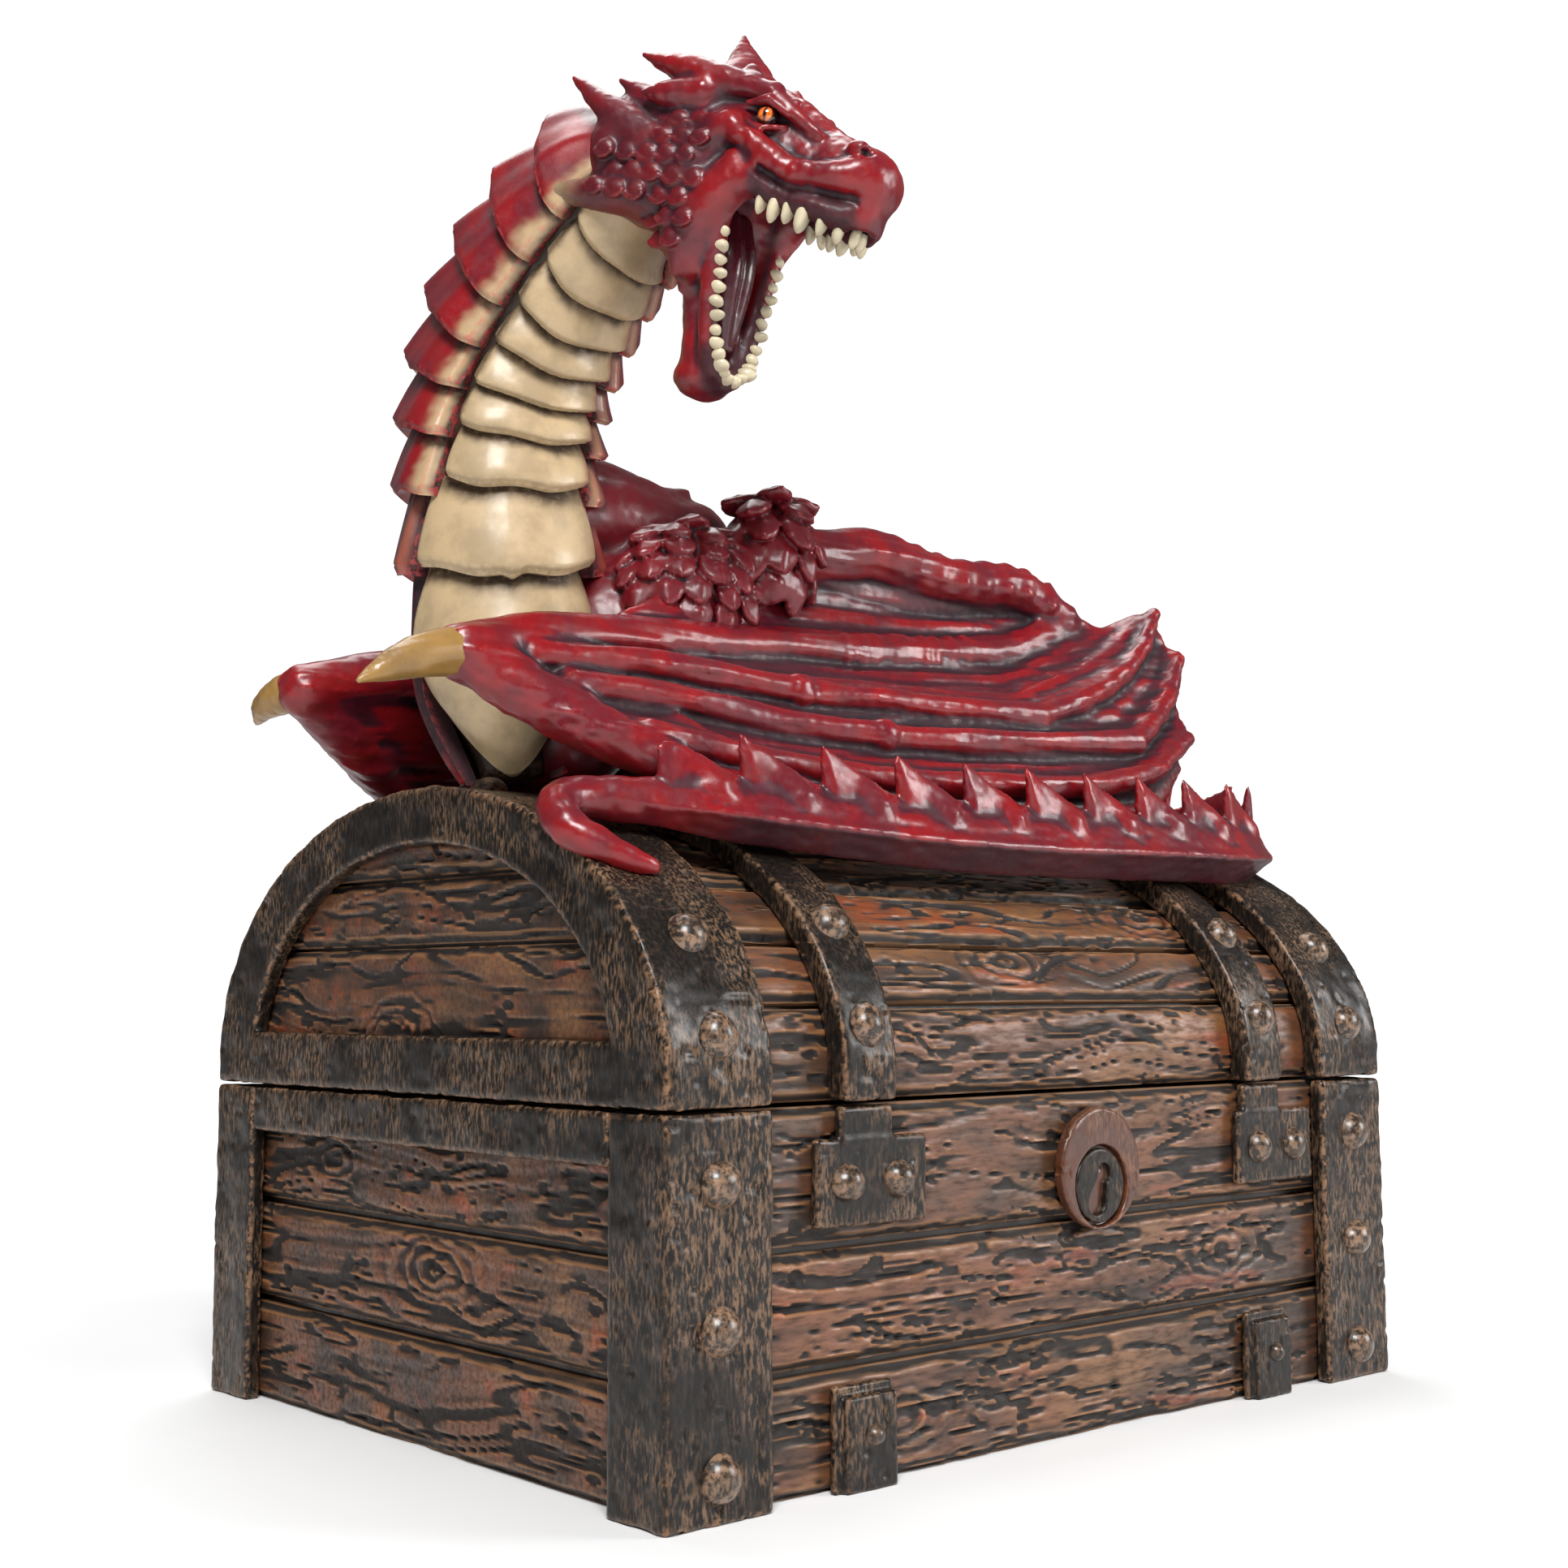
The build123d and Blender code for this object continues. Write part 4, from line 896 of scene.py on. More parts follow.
def rivets():
    """High-detail rivet heads where the CAD's stand."""
    for node, body in (("base_rivets", "base"), ("lid_rivets", "lid")):
        made = []
        for k, cloud in enumerate(islands(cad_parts[node])):
            mid = (cloud.min(0) + cloud.max(0)) / 2
            centred = cloud - cloud.mean(0)
            normal = np.linalg.eigh(centred.T @ centred)[1][:, 0]
            core_z = min(mid[2], 50) if body == "lid" else mid[2]
            if normal @ (mid - vec(np.clip(mid[0], -40, 40), 0, core_z)) < 0:
                normal = -normal
            along = centred @ normal
            across = np.linalg.norm(centred - np.outer(along, normal), axis=1).max()
            base = cloud.mean(0) + normal * along.min()
            made.append(dome(base - 0.15 * normal, normal, across, along.max() - along.min() + 0.25, 500 + k))
        co, faces = joined(made)
        if corner_normals(co, faces)[0] @ (co[0] - co[-1]) < 0:
            faces = faces[:, ::-1]
        piece(node + "_heads", co, faces, body, BRONZE, (node,), hollow_rounds=(2, 8))


def disc(centre, radius, y0, y1, edge):
    """A flat disc that faces the front."""
    def field(x, y, z):
        flat = np.sqrt((x - centre[0]) ** 2 + (z - centre[2]) ** 2) - radius
        return rounded(flat, y0 - y, y - y1, edge=edge)
    return field


def lock():
    """The copper escutcheon and the keyhole insert."""
    hole_low, hole_high = box_mm("keyhole_insert")
    centre, radius = (hole_low + hole_high) / 2, (hole_high[0] - hole_low[0]) / 2

    def plate(clay, low, high):
        clay.put_field(disc((low + high) / 2, (high[0] - low[0]) / 2, low[1], high[1], 0.5))
        clay.put_field(disc(centre, radius + 0.45, low[1] - 3, high[1] - 0.5, 0.2), 0.35, carve=True)

    def insert(clay, low, high):
        clay.put_field(disc(centre, radius, low[1] + 0.1, high[1], 0.35))
        through = 4 * BACK
        top = centre + vec(0.9, 0, 1.6)
        clay.limb(top - through, top + through, 1.3, 1.3, 0.3, carve=True)
        foot = centre + vec(-0.7, 0, -2.1)
        for share in np.linspace(0, 1, 7):
            at = top + (foot - top) * share
            wide = 0.75 + 0.95 * share
            clay.limb(at - through, at + through, wide, wide, 0.25, carve=True)
        # A dark iron floor closes the back of the keyhole: a sheet of painted shade in the hole.
        clay.put_field(disc(centre, radius - 0.4, high[1] - 0.4, high[1] + 0.5, 0.1))

    iron("lock_escutcheon", plate, "base", seed=260, step=0.2, material=COPPER, depth=0.09)
    iron("keyhole_insert", insert, "base", seed=261, step=0.16, depth=0.05)


def give(material, *nodes):
    """CAD nodes shown as they are, with a material."""
    for node in nodes:
        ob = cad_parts[node]
        ob.data.materials.clear()
        ob.data.materials.append(material)


def hidden_hardware():
    """Materials for the pieces that stay as the CAD made them."""
    give(CORE, "base_tub", "lid_shell")
    give(IRON, "hinge_base_left", "hinge_base_right", "hinge_lid_left", "hinge_lid_right")
    give(BLACK, "air_inlet", "inlet_nut", "stone_clips")
    give(STEEL, "hinge_pins")
    give(RUBBER, "inlet_gasket")
    give(HOSE, "air_hose")
    give(GRIT, "air_stone")


# ---------------------------------------------------------------- dragon: neck
# Each row of the neck: x, y, z, radius and the heading of the belly in degrees, from the lid up to the head.
NECK = [
    (-54.0, 0.5, 87.5, 6.8, 236), (-54.2, 2.5, 99.0, 11.2, 238), (-54.6, 3.2, 111.0, 12.3, 243),
    (-55.2, 3.0, 122.0, 12.4, 249), (-55.4, 2.6, 132.0, 12.5, 255), (-55.2, 0.8, 141.0, 12.5, 261),
    (-54.6, -3.6, 149.4, 12.5, 267), (-53.6, -10.2, 156.8, 12.2, 271), (-52.0, -17.8, 162.4, 11.6, 274),
    (-50.0, -25.2, 165.6, 10.2, 276),
]
NECK_STEPS = 400
NECK_FINE = curve(NECK, NECK_STEPS)

# Where each scute's lower edge is, counting neck rows, and half the belly's width there in degrees.
STARTS = (0.0, 2.45, 3.45, 4.25, 5.0, 5.75, 6.5, 7.25, 8.05, 9.0)
BELLY_HALF = (70, 67, 51, 47, 45, 44, 44, 43, 42)
SCUTES = len(BELLY_HALF)


def neck_point(s, phi, radius):
    """Points round the neck: s counts rows of NECK, phi is degrees from the belly line, radius is a share."""
    s, phi, radius = np.broadcast_arrays(*(np.asarray(v, float) for v in (s, phi, radius)))
    shape, s = s.shape, s.ravel()
    t = s / (len(NECK) - 1) * (NECK_STEPS - 1)
    i = np.clip(t.astype(int), 0, NECK_STEPS - 2)
    f = (t - i)[:, None]
    row = NECK_FINE[i] * (1 - f) + NECK_FINE[i + 1] * f
    lo, hi = np.clip(i - 12, 0, NECK_STEPS - 1), np.clip(i + 13, 0, NECK_STEPS - 1)
    along = NECK_FINE[hi, :3] - NECK_FINE[lo, :3]
    along /= np.linalg.norm(along, axis=1)[:, None]
    turn = np.radians(row[:, 4])
    belly = np.stack([np.cos(turn), np.sin(turn), 0 * turn], 1)
    belly -= (belly * along).sum(1)[:, None] * along
    belly /= np.linalg.norm(belly, axis=1)[:, None]
    side = np.cross(along, belly)
    a = np.radians(phi.ravel())
    out = np.cos(a)[:, None] * belly + np.sin(a)[:, None] * side
    co = row[:, :3] + out * (row[:, 3] * radius.ravel())[:, None]
    return co.reshape(*shape, 3)


def scute(s_low, s_high, phis, share, under=0.80, rows=26):
    """One overlapping plate, with its thick lower lip, its rounded side edges and its tucked-in upper end."""
    p = np.asarray(phis)[None, :]
    v = np.linspace(0, 1, rows)[:, None] ** 1.15
    side = np.minimum(p - phis[0], phis[-1] - p)
    s = s_low(p) + (s_high - s_low(p)) * v
    lip = 0.055 * (1 - smoothstep(0.0, 0.10, v))
    body = share(p, v) - lip - 0.10 * (1 - smoothstep(0.0, 6.0, side))
    outer = neck_point(s, p + 0 * v, body)
    below = neck_point(s_low(p) + 0.03, p, under + 0 * p)
    cap = neck_point(s_high + 0 * p, p, under + 0 * p)
    sheet = np.concatenate([below, outer, cap], 0)
    ends = np.concatenate([s_low(p) + 0.03, s, s_high + 0 * p], 0)
    left = neck_point(ends[:, :1], phis[0], under)
    right = neck_point(ends[:, -1:], phis[-1], under)
    sheet = np.concatenate([left, sheet, right], 1)
    across = np.concatenate([[phis[0]], phis, [phis[-1]]])[None, :] + 0 * sheet[:, :, 0]
    along = np.concatenate([ends[:, :1], ends, ends[:, -1:]], 1)
    back = neck_point(along, across, under - 0.02)
    rows, cols = along.shape
    own = np.arange(rows * cols).reshape(rows, cols)
    inner = own.copy()
    inner[1:-1, 1:-1] = rows * cols + np.arange((rows - 2) * (cols - 2)).reshape(rows - 2, cols - 2)
    shell = grid_faces(rows, cols)
    faces = np.vstack([shell, inner.ravel()[shell][:, ::-1]])
    middle = (slice(1, -1), slice(1, -1))
    co = np.vstack([sheet.reshape(-1, 3), back[middle].reshape(-1, 3)])
    return co, faces, np.append(along, along[middle]), np.append(across, across[middle])


def neck_core():
    """What shows in the gaps between the scutes."""
    rows, cols = 90, 72
    s = np.linspace(-0.1, 9.0, rows)[:, None]
    phi = np.linspace(-180, 180, cols, endpoint=False)[None, :]
    core = neck_point(s, phi, 0.88 - 0.22 * smoothstep(1.3, 0.2, s))
    piece("neck_core_cast", core.reshape(-1, 3), tube_faces(rows, cols), "lid", GROOVE, ("neck_core",))


def belly_low(i, p):
    """Where belly scute i's lower edge is, at p degrees from the belly line. The first hangs to the lid."""
    middle = np.cos(np.radians(np.clip(p / BELLY_HALF[i], -1, 1) * 90))
    if i == 0:
        return 1.6 - 1.75 * middle ** 0.55
    nib = 0.08 * np.exp(-(p / 4.5) ** 2) if i == 1 else 0.0
    droop = (0.24 + 0.05 * math.sin(i * 2.1)) * middle ** 0.8
    return STARTS[i] - droop - nib + 0.03 * np.sin(p * 0.13 + i)


def belly_scutes():
    """The cream scutes down the front of the neck."""
    parts, edges, shades = [], [], []
    for i, half in enumerate(BELLY_HALF):
        def share(p, v, i=i, half=half):
            swell = 0.05 * np.sin(np.pi * np.clip(v, 0, 1) ** 0.7) + 0.010 * np.sin(p * 0.09 + i * 1.7)
            round_off = 0.07 * (np.abs(p) / half) ** 4
            tuck = 0.0 if i else 0.05 * np.sin(np.pi * v * 1.2) - 0.10 * (1 - smoothstep(0.0, 0.35, v))
            return 1.15 - 0.20 * v + swell - round_off + tuck

        co, f, along, across = scute(lambda p, i=i: belly_low(i, p), STARTS[i + 1] + 0.03,
                                     np.linspace(-half, half, 54), share, rows=26 if i else 40)
        co = co + 0.10 * noise(co, 3.4, 40 + i)[:, None] * unit(vec(1, 1, 0))
        parts.append((co, f))
        jitter = noise(co, 2.2, 44) * 0.5 + noise(co, 0.9, 45) * 0.5
        gap = along - belly_low(i + 1, across) if i + 1 < SCUTES else 0 * along - 1
        under = smoothstep(-0.27, -0.03, gap + 0.07 * jitter)
        side = smoothstep(9.0, 0.5, half - np.abs(across) + 2.5 * jitter)
        shades.append(np.maximum(under, side * 0.9))
        edges.append(0.85 * smoothstep(16.0, 2.0, half - across + 3 * jitter) * (0.4 + 0.6 * (i > 1)))
    neck_piece("belly_scutes", parts, CREAM, edges, shades)


def back_low(i, p):
    """Where the lower edge of back scute i is: pointed on the spine, notched beside the ridges."""
    from_spine = np.abs(p - 180)
    notch = 0.14 * np.exp(-((from_spine - 64) / 12) ** 2)
    corner = 0.16 * smoothstep(96, 122, from_spine)
    return STARTS[i] - 0.08 - 0.22 * np.exp(-(from_spine / 20) ** 2) + notch - corner


def back_share(p, v):
    """How far out the back scutes stand: a crest on the spine and two ridges on each side."""
    from_spine = np.abs(p - 180)
    crest = 0.14 * np.exp(-(from_spine / 10) ** 2) * (1 - 0.7 * v)
    ridge = 0.075 * np.exp(-((from_spine - 62) / 9) ** 2) * (1 - 0.3 * v)
    second = 0.05 * np.exp(-((from_spine - 104) / 8) ** 2) * (1 - 0.5 * v)
    return 1.18 - 0.245 * v + crest + ridge + second


def back_scutes():
    """The red scutes down the back of the neck, each edged with the belly's cream."""
    parts, cream, shades = [], [], []
    for i in range(SCUTES):
        half = BELLY_HALF[i] + 4
        phis = np.concatenate([np.linspace(half, 100, 28), np.linspace(102, 258, 62),
                               np.linspace(260, 360 - half, 28)])
        co, f, along, across = scute(lambda p, i=i: back_low(i, p), STARTS[i + 1] + 0.04, phis, back_share,
                                     under=0.82)
        co = co + 0.12 * noise(co, 3.2, 60 + i)[:, None] * unit(vec(0.3, 1, 0.3))
        parts.append((co, f))
        jitter = noise(co, 2.4, 67) * 0.6 + noise(co, 0.8, 68) * 0.4
        to_belly = np.minimum(across - phis[0], phis[-1] - across)
        near = np.where(across < 180, 0.45, 0.97) * (1 if i > 1 else 0.2 * i)
        cream.append(smoothstep(18.0, 6.0, to_belly + 5 * jitter) * near)
        gap = along - back_low(i + 1, across) if i + 1 < SCUTES else 0 * along - 1
        gap = gap + (0 if i else 2.0)
        under = smoothstep(-0.22, -0.02, gap + 0.08 * jitter)
        shades.append(np.maximum(under, smoothstep(4.0, 0.0, to_belly + 1.5 * jitter)))
    neck_piece("back_scutes", parts, RED, cream, shades)


def neck_piece(node, parts, material, second, shade):
    """All the scutes of one kind as a piece."""
    co, faces = joined(parts)
    piece(node + "_cast", co, faces, "lid", material, (node,),
          {"second": np.concatenate(second), "shade": np.concatenate(shade)}, sharp=60, hollow_rounds=(4, 30))


# ---------------------------------------------------------------- dragon: head, in its own frame
HEAD_AT = vec(-46.6, -35.4, 158.2)
HEAD_PITCH = math.radians(15.0)
HEAD_AHEAD = vec(0.284 * math.cos(HEAD_PITCH), -0.959 * math.cos(HEAD_PITCH), -math.sin(HEAD_PITCH))
HEAD_UP = vec(0.284 * math.sin(HEAD_PITCH), -0.959 * math.sin(HEAD_PITCH), math.cos(HEAD_PITCH))
HEAD_LEFT = np.cross(HEAD_UP, HEAD_AHEAD)


def from_head(co):
    """Points from the head's frame (ahead, left, up from the jaw hinge) to the part's frame.

    The muzzle is drawn in lengthways and the crown in height.
    """
    co = np.array(co, float)
    co[:, 0] -= 0.19 * np.maximum(co[:, 0] - 9.0, 0)
    co[:, 2] -= 0.13 * np.maximum(co[:, 2] - 5.5, 0)
    return HEAD_AT + co[:, :1] * HEAD_AHEAD + co[:, 1:2] * HEAD_LEFT + co[:, 2:3] * HEAD_UP


def skin_y(clay, x, z, side):
    """How far out the clay's surface is at x, z on one side."""
    i = int(round((x - clay.low[0]) / clay.step))
    k = int(round((z - clay.low[2]) / clay.step))
    column = clay.d[min(max(i, 0), clay.n[0] - 1), :, min(max(k, 0), clay.n[2] - 1)]
    inside = np.nonzero(column < 0)[0]
    if not len(inside):
        return 0.0
    return clay.low[1] + clay.step * (inside[0] if side < 0 else inside[-1])


def sculpt_head():
    """The whole head except the teeth, tongue and eyes, added and carved in the order it is built up."""
    clay = Clay((-27, -15, -29), (31, 15, 28), 0.27)
    cranium(clay)
    brows_and_spikes(clay)
    upper_lips(clay)
    lower_jaw(clay)
    mouth(clay)
    for side in (-1, 1):
        nostril_and_eyelids(clay, side)
        cheek_scales(clay, side)
    return clay


def cranium(clay):
    """The skull, the muzzle with its ridge, and the tall crest."""
    clay.ball((-5.0, 0, 8.2), (12.0, 9.2, 9.6))
    clay.ball((-13.0, 0, 4.0), (8.0, 9.6, 10.0), 4.0)
    clay.ball((-12.6, -0.3, 4.4), (5.0, 11.4, 11.2), 2.5)
    clay.chain([(0, 0, 9.8, 8.0), (7, 0, 8.2, 6.8), (14, 0, 5.8, 5.5), (20, 0, 4.4, 5.0),
                (23.0, 0, 3.6, 4.2)], 3.5, n=9)
    clay.chain([(3, 0, 16.4, 1.5), (10, 0, 13.6, 1.3), (17, 0, 9.8, 1.1), (22, 0, 8.0, 1.0)], 2.4, n=8)
    clay.chain([(-0.6, 0, 13.0, 5.6), (-0.8, 0, 17.4, 4.0), (-1.7, 0, 21.2, 2.1), (-2.7, 0, 25.0, 0.4)],
               1.8, n=12)


def brows_and_spikes(clay):
    """Knobbed brows, and the spikes above them and behind the cheek and jaw. One spike is broken short."""
    for side, p in both([(16.5, 4.0, 9.0, 0.9), (13.0, 5.2, 11.2, 1.2), (9.5, 6.0, 13.2, 1.5),
                         (6.0, 6.4, 14.6, 1.7), (1.0, 6.8, 15.4, 2.4), (-5.0, 7.8, 16.8, 2.2),
                         (-10.8, 8.8, 18.3, 0.5)]):
        clay.chain(p, 1.0, n=16)
        clay.chain([(x, y + side * 0.7, z + 0.6, 0.6) for x, y, z, _ in p[2:6]], 0.5, n=14)
    for _, p in both([(11.6, 5.4, 12.9, 0.9), (8.6, 6.2, 14.6, 1.1), (5.4, 6.6, 15.9, 1.2)]):
        for x, y, z, r in p:
            clay.ball((x, y, z), (1.7, 0.9, r), 0.35)
    clay.pair([(-1.0, 7.6, 13.0, 2.8), (-5.0, 9.2, 12.4, 2.0), (-8.6, 10.2, 12.2, 0.5)], 0.9, n=6)
    for side, p in both([(4.6, 5.0, 15.4, 1.8), (4.0, 5.4, 17.4, 1.2), (3.2, 5.6, 19.4, 0.4)]):
        clay.chain(p if side > 0 else p[:2])
    for side, p in both([(-8.0, 8.2, 5.6, 3.0), (-13.0, 9.4, 9.0, 2.2), (-17.0, 10.0, 11.6, 1.4),
                         (-20.4, 10.4, 14.0, 0.4)]):
        clay.chain(p, 0.9, n=12)
        clay.chain([(p[0][0] + 1.2, p[0][1] + side * 1.6, p[0][2] + 1.2, 0.9), (*p[2][:3], 0.9)], 0.7)
    clay.pair([(-7.6, 6.6, 11.0, 2.4), (-11.4, 7.4, 13.4, 1.5), (-14.6, 7.8, 14.8, 0.5)])
    clay.pair([(-6.6, 8.2, -0.6, 3.2), (-11.0, 10.0, -1.8, 2.4), (-16.2, 11.6, -2.4, 1.5),
               (-20.0, 12.2, -2.6, 0.6)], 0.9, n=9)
    for side in (-1, 1):
        clay.ball((-9.0, side * 10.6, 14.9), (3.6, 3.2, 1.3), 0.9, carve=True)


def upper_lips(clay):
    """The knobbed lips, their lower edges, the corners of the mouth and the jaw muscles."""
    for side, p in both([(25.4, 2.0, 3.9, 2.3), (23.0, 4.4, 3.5, 2.1), (19.6, 5.5, 3.2, 1.8),
                         (14.8, 6.5, 3.3, 1.75), (10.2, 7.6, 5.4, 1.8), (6.6, 8.2, 7.3, 1.5),
                         (2.4, 8.3, 8.6, 1.2)]):
        clay.chain(p, 1.0, n=18)
        for t, (x, y, z, _) in enumerate(curve(p[2:6], 9)):
            clay.ball((x, y + side * 0.9, z + 0.5 * math.sin(t * 2.1)), (1.1, 0.9, 1.0), 0.5)
    clay.pair([(25.2, 0.9, -0.4, 1.9), (23.4, 3.0, -0.7, 1.8), (19.8, 4.5, -0.1, 1.7), (15.0, 5.4, 0.8, 1.5),
               (9.6, 6.4, 1.8, 1.5)], 1.0, n=12)
    clay.pair([(9.6, 6.6, 2.6, 2.2), (5.2, 7.4, 0.4, 2.6), (2.6, 7.2, -4.6, 2.4), (2.0, 6.4, -9.0, 1.8)],
              1.6, n=9)
    clay.pair([(4.4, 7.8, 9.0, 1.9), (1.6, 8.2, 5.0, 2.0), (0.2, 8.2, -0.5, 2.2), (-0.6, 7.2, -6.5, 2.4)],
              2.0, n=8)
    clay.ball((24.4, 0, 4.0), (4.4, 4.6, 4.6), 1.6)


def lower_jaw(clay):
    """The jaw, dropped wide open: each row is z, x, half width and half depth, and then the chin."""
    for z, x, w, d in ((-1, 0.6, 6.6, 4.4), (-5, 0.9, 6.2, 3.9), (-9, 1.2, 5.6, 3.4), (-13, 1.7, 4.9, 3.1),
                       (-17, 2.3, 4.4, 3.0), (-20.6, 2.9, 4.0, 3.1)):
        clay.ball((x, 0, z), (d, w, 3.6), 2.2)
    clay.ball((2.4, 0, -22.4), (3.5, 4.0, 2.4), 1.4)


def mouth(clay):
    """The hollow under the palate and down the jaw, the jaw's rims, and the gums over it."""
    clay.chain([(24, 0, -3.9, 2.6), (17, 0, -3.6, 4.0), (9, 0, -4.5, 4.6), (3.6, 0, -9.0, 4.2)],
               0.9, carve=True)
    clay.chain([(7.5, 0, -6.0, 4.5), (2.4, 0, -4.6, 3.4)], 1.2, carve=True)
    clay.chain([(7.0, 0, 0.5, 4.4), (5.9, 0, -5.0, 4.2), (5.5, 0, -10.0, 3.5), (5.4, 0, -14.5, 2.8),
                (5.6, 0, -18.6, 1.6)], carve=True, n=12)
    clay.pair([(6.6, 6.9, 1.0, 1.5), (4.6, 6.6, -2.5, 1.5), (4.6, 5.9, -7.5, 1.4), (4.7, 5.2, -12.5, 1.3),
               (5.1, 4.4, -17.0, 1.3), (5.5, 2.7, -20.8, 1.4), (5.6, 0.0, -22.0, 1.4)], n=16)
    clay.pair([(6.2, 7.6, 3.4, 1.8), (3.4, 8.2, -1.5, 2.0), (1.2, 7.8, -6.5, 1.8), (0.4, 6.4, -12.0, 1.2)],
              1.4, n=8)
    clay.pair([(25.4, 3.8, 1.0, 0.4), (20.4, 6.1, 0.8, 0.5), (15.2, 7.0, 1.1, 0.5), (10.8, 8.0, 2.7, 0.5)],
              1.2, carve=True, n=12)
    clay.pair([(23.4, 2.9, -1.8, 1.1), (20.0, 4.2, -1.1, 1.2), (15.0, 5.2, -0.2, 1.2), (10.0, 6.1, 0.9, 1.2)],
              0.5, n=12)


def nostril_and_eyelids(clay, side):
    """The hollows of the jaw's side, the eye and the muzzle, the nostril, the eyelids and the cheek."""
    clay.ball((0.5, side * 6.8, -13.0), (1.5, 1.0, 2.4), 1.2, carve=True)
    clay.ball((8.9, side * 8.0, 10.4), (2.3, 1.9, 1.5), 0.7, carve=True)
    clay.chain([(13.6, side * 7.6, 8.4, 0.9), (17.6, side * 6.4, 7.2, 1.1)], 2.2, carve=True)
    clay.ball((23.6, side * 3.4, 7.6), (1.8, 1.3, 1.2))
    clay.ball((25.4, side * 3.5, 7.2), (1.1, 0.8, 0.6), 0.5, carve=True)
    clay.chain([(6.2, side * 7.6, 12.0, 0.5), (9.2, side * 7.7, 12.6, 0.75), (12.4, side * 6.4, 11.0, 0.5)],
               0.4)
    clay.chain([(6.4, side * 7.4, 9.3, 0.35), (9.0, side * 7.6, 8.6, 0.45), (11.4, side * 5.7, 9.4, 0.35)],
               0.7)
    clay.ball((-4.6, side * 5.8, 2.4), (8.6, 5.0, 7.6), 2.0)
    clay.ball((-11.5, side * 7.4, 4.6), (4.0, 3.6, 5.0), 2.0)


def cheek_scales(clay, side):
    """Staggered rows of round overlapping scales behind the eye, each a low bump with a raised lower rim."""
    rng = np.random.default_rng(5)
    found = []
    for row in range(7):
        for col in range(6):
            x = -11.6 + 3.0 * col + 1.5 * (row % 2)
            z = -6.6 + 2.55 * row
            if x > 3.2 - 0.25 * abs(row - 4) or (row > 4 and col < 1 + row - 4) or (row < 2 and col < 2):
                continue
            x, z = x + rng.uniform(-0.15, 0.15), z + rng.uniform(-0.15, 0.15)
            found.append((x, skin_y(clay, x, z, side), z))
    for x, y, z in found:
        if 4.0 < abs(y) < 13.4:
            clay.ball((x, y - side * 0.3, z + 0.1), (1.45, 1.0, 1.2), 0.2)
            arc = [(x + 1.4 * math.cos(a), y + side * 0.3, z + 1.15 * math.sin(a), 0.38)
                   for a in np.radians(np.linspace(205, 335, 6))]
            clay.chain(arc, 0.25)


TOOTH = ((-0.35, 0.80), (0.0, 0.98), (0.25, 1.05), (0.5, 0.98), (0.72, 0.80), (0.87, 0.55), (0.96, 0.28),
         (1.0, 0.04))


def tooth(at, toward, side, length, width, seed):
    """One blunt ivory tooth, slightly bent and uneven. TOOTH has its shares of length and width."""
    rng = np.random.default_rng(seed)
    n = unit(toward)
    a = unit(np.cross(n, side))
    b = np.cross(n, a)
    turn = np.linspace(0, 2 * np.pi, 14, endpoint=False)
    bend = rng.uniform(-0.22, 0.22, 2)
    wobble = 1 + 0.06 * np.sin(turn * 3 + seed)
    rings = []
    for h, r in TOOTH:
        shift = (bend[0] * a + bend[1] * b) * width * max(h, 0) ** 2
        ring = at + n * h * length + shift
        wide = np.outer(np.cos(turn) * r * width * wobble, a)
        deep = np.outer(np.sin(turn) * r * width * 0.82 * wobble, b)
        rings.append(ring + wide + deep)
    return np.vstack(rings), tube_faces(len(TOOTH), len(turn))


# Each upper tooth on one side: where it stands, its length and its width.
UPPER_TEETH = ((10.4, 6.4, 0.5, 2.7, 1.0), (12.9, 6.1, 0.1, 3.0, 1.1), (15.2, 5.7, -0.3, 2.8, 1.05),
               (17.8, 5.3, -0.7, 3.1, 1.25), (20.8, 4.5, -1.6, 2.2, 0.95), (23.0, 3.3, -2.3, 2.1, 0.95),
               (24.4, 1.2, -2.4, 1.9, 0.85))
LOWER_RIM = ((5.3, 6.3, -4.8), (5.7, 5.9, -8.8), (5.9, 5.3, -12.8), (6.3, 4.5, -17.0), (6.6, 3.0, -20.2),
             (6.7, 0.9, -21.9))
LOWER_TEETH = 13
FANG = 10


def teeth():
    """A row on each side of each jaw."""
    rng = np.random.default_rng(8)
    upper, lower = [], []
    for side in (-1, 1):
        for k, (x, y, z, size, width) in enumerate(UPPER_TEETH):
            down = vec(-0.05 - 0.03 * k, side * 0.10, -1)
            upper.append(tooth(vec(x, side * (y - 0.45), z), down, vec(1, 0.2, 0),
                               size * rng.uniform(0.92, 1.1), width, 40 + 3 * k + side))
    for side in (-1, 1):
        for k, (x, y, z) in enumerate(curve(LOWER_RIM, LOWER_TEETH)):
            size = 1.55 + 0.25 * math.sin(k * 2.3) + 0.8 * (k == FANG)
            width = 0.86 + 0.10 * math.sin(k * 1.7) + 0.3 * (k == FANG)
            lower.append(tooth(vec(x - 0.3, side * y, z), vec(1, side * 0.12, 0.18), vec(0, 0.3, 1),
                               size * rng.uniform(0.9, 1.1), width, 80 + 3 * k + side))
    for node, rows in (("upper_teeth", upper), ("lower_teeth", lower)):
        co, faces = joined(rows)
        if signed_volume(co, faces) < 0:
            faces = faces[:, ::-1]
        co = co + 0.05 * noise(co, 0.8, 77)[:, None]
        piece(node + "_row", from_head(co), faces, "lid", IVORY, (node,), hollow_rounds=(1, 5))


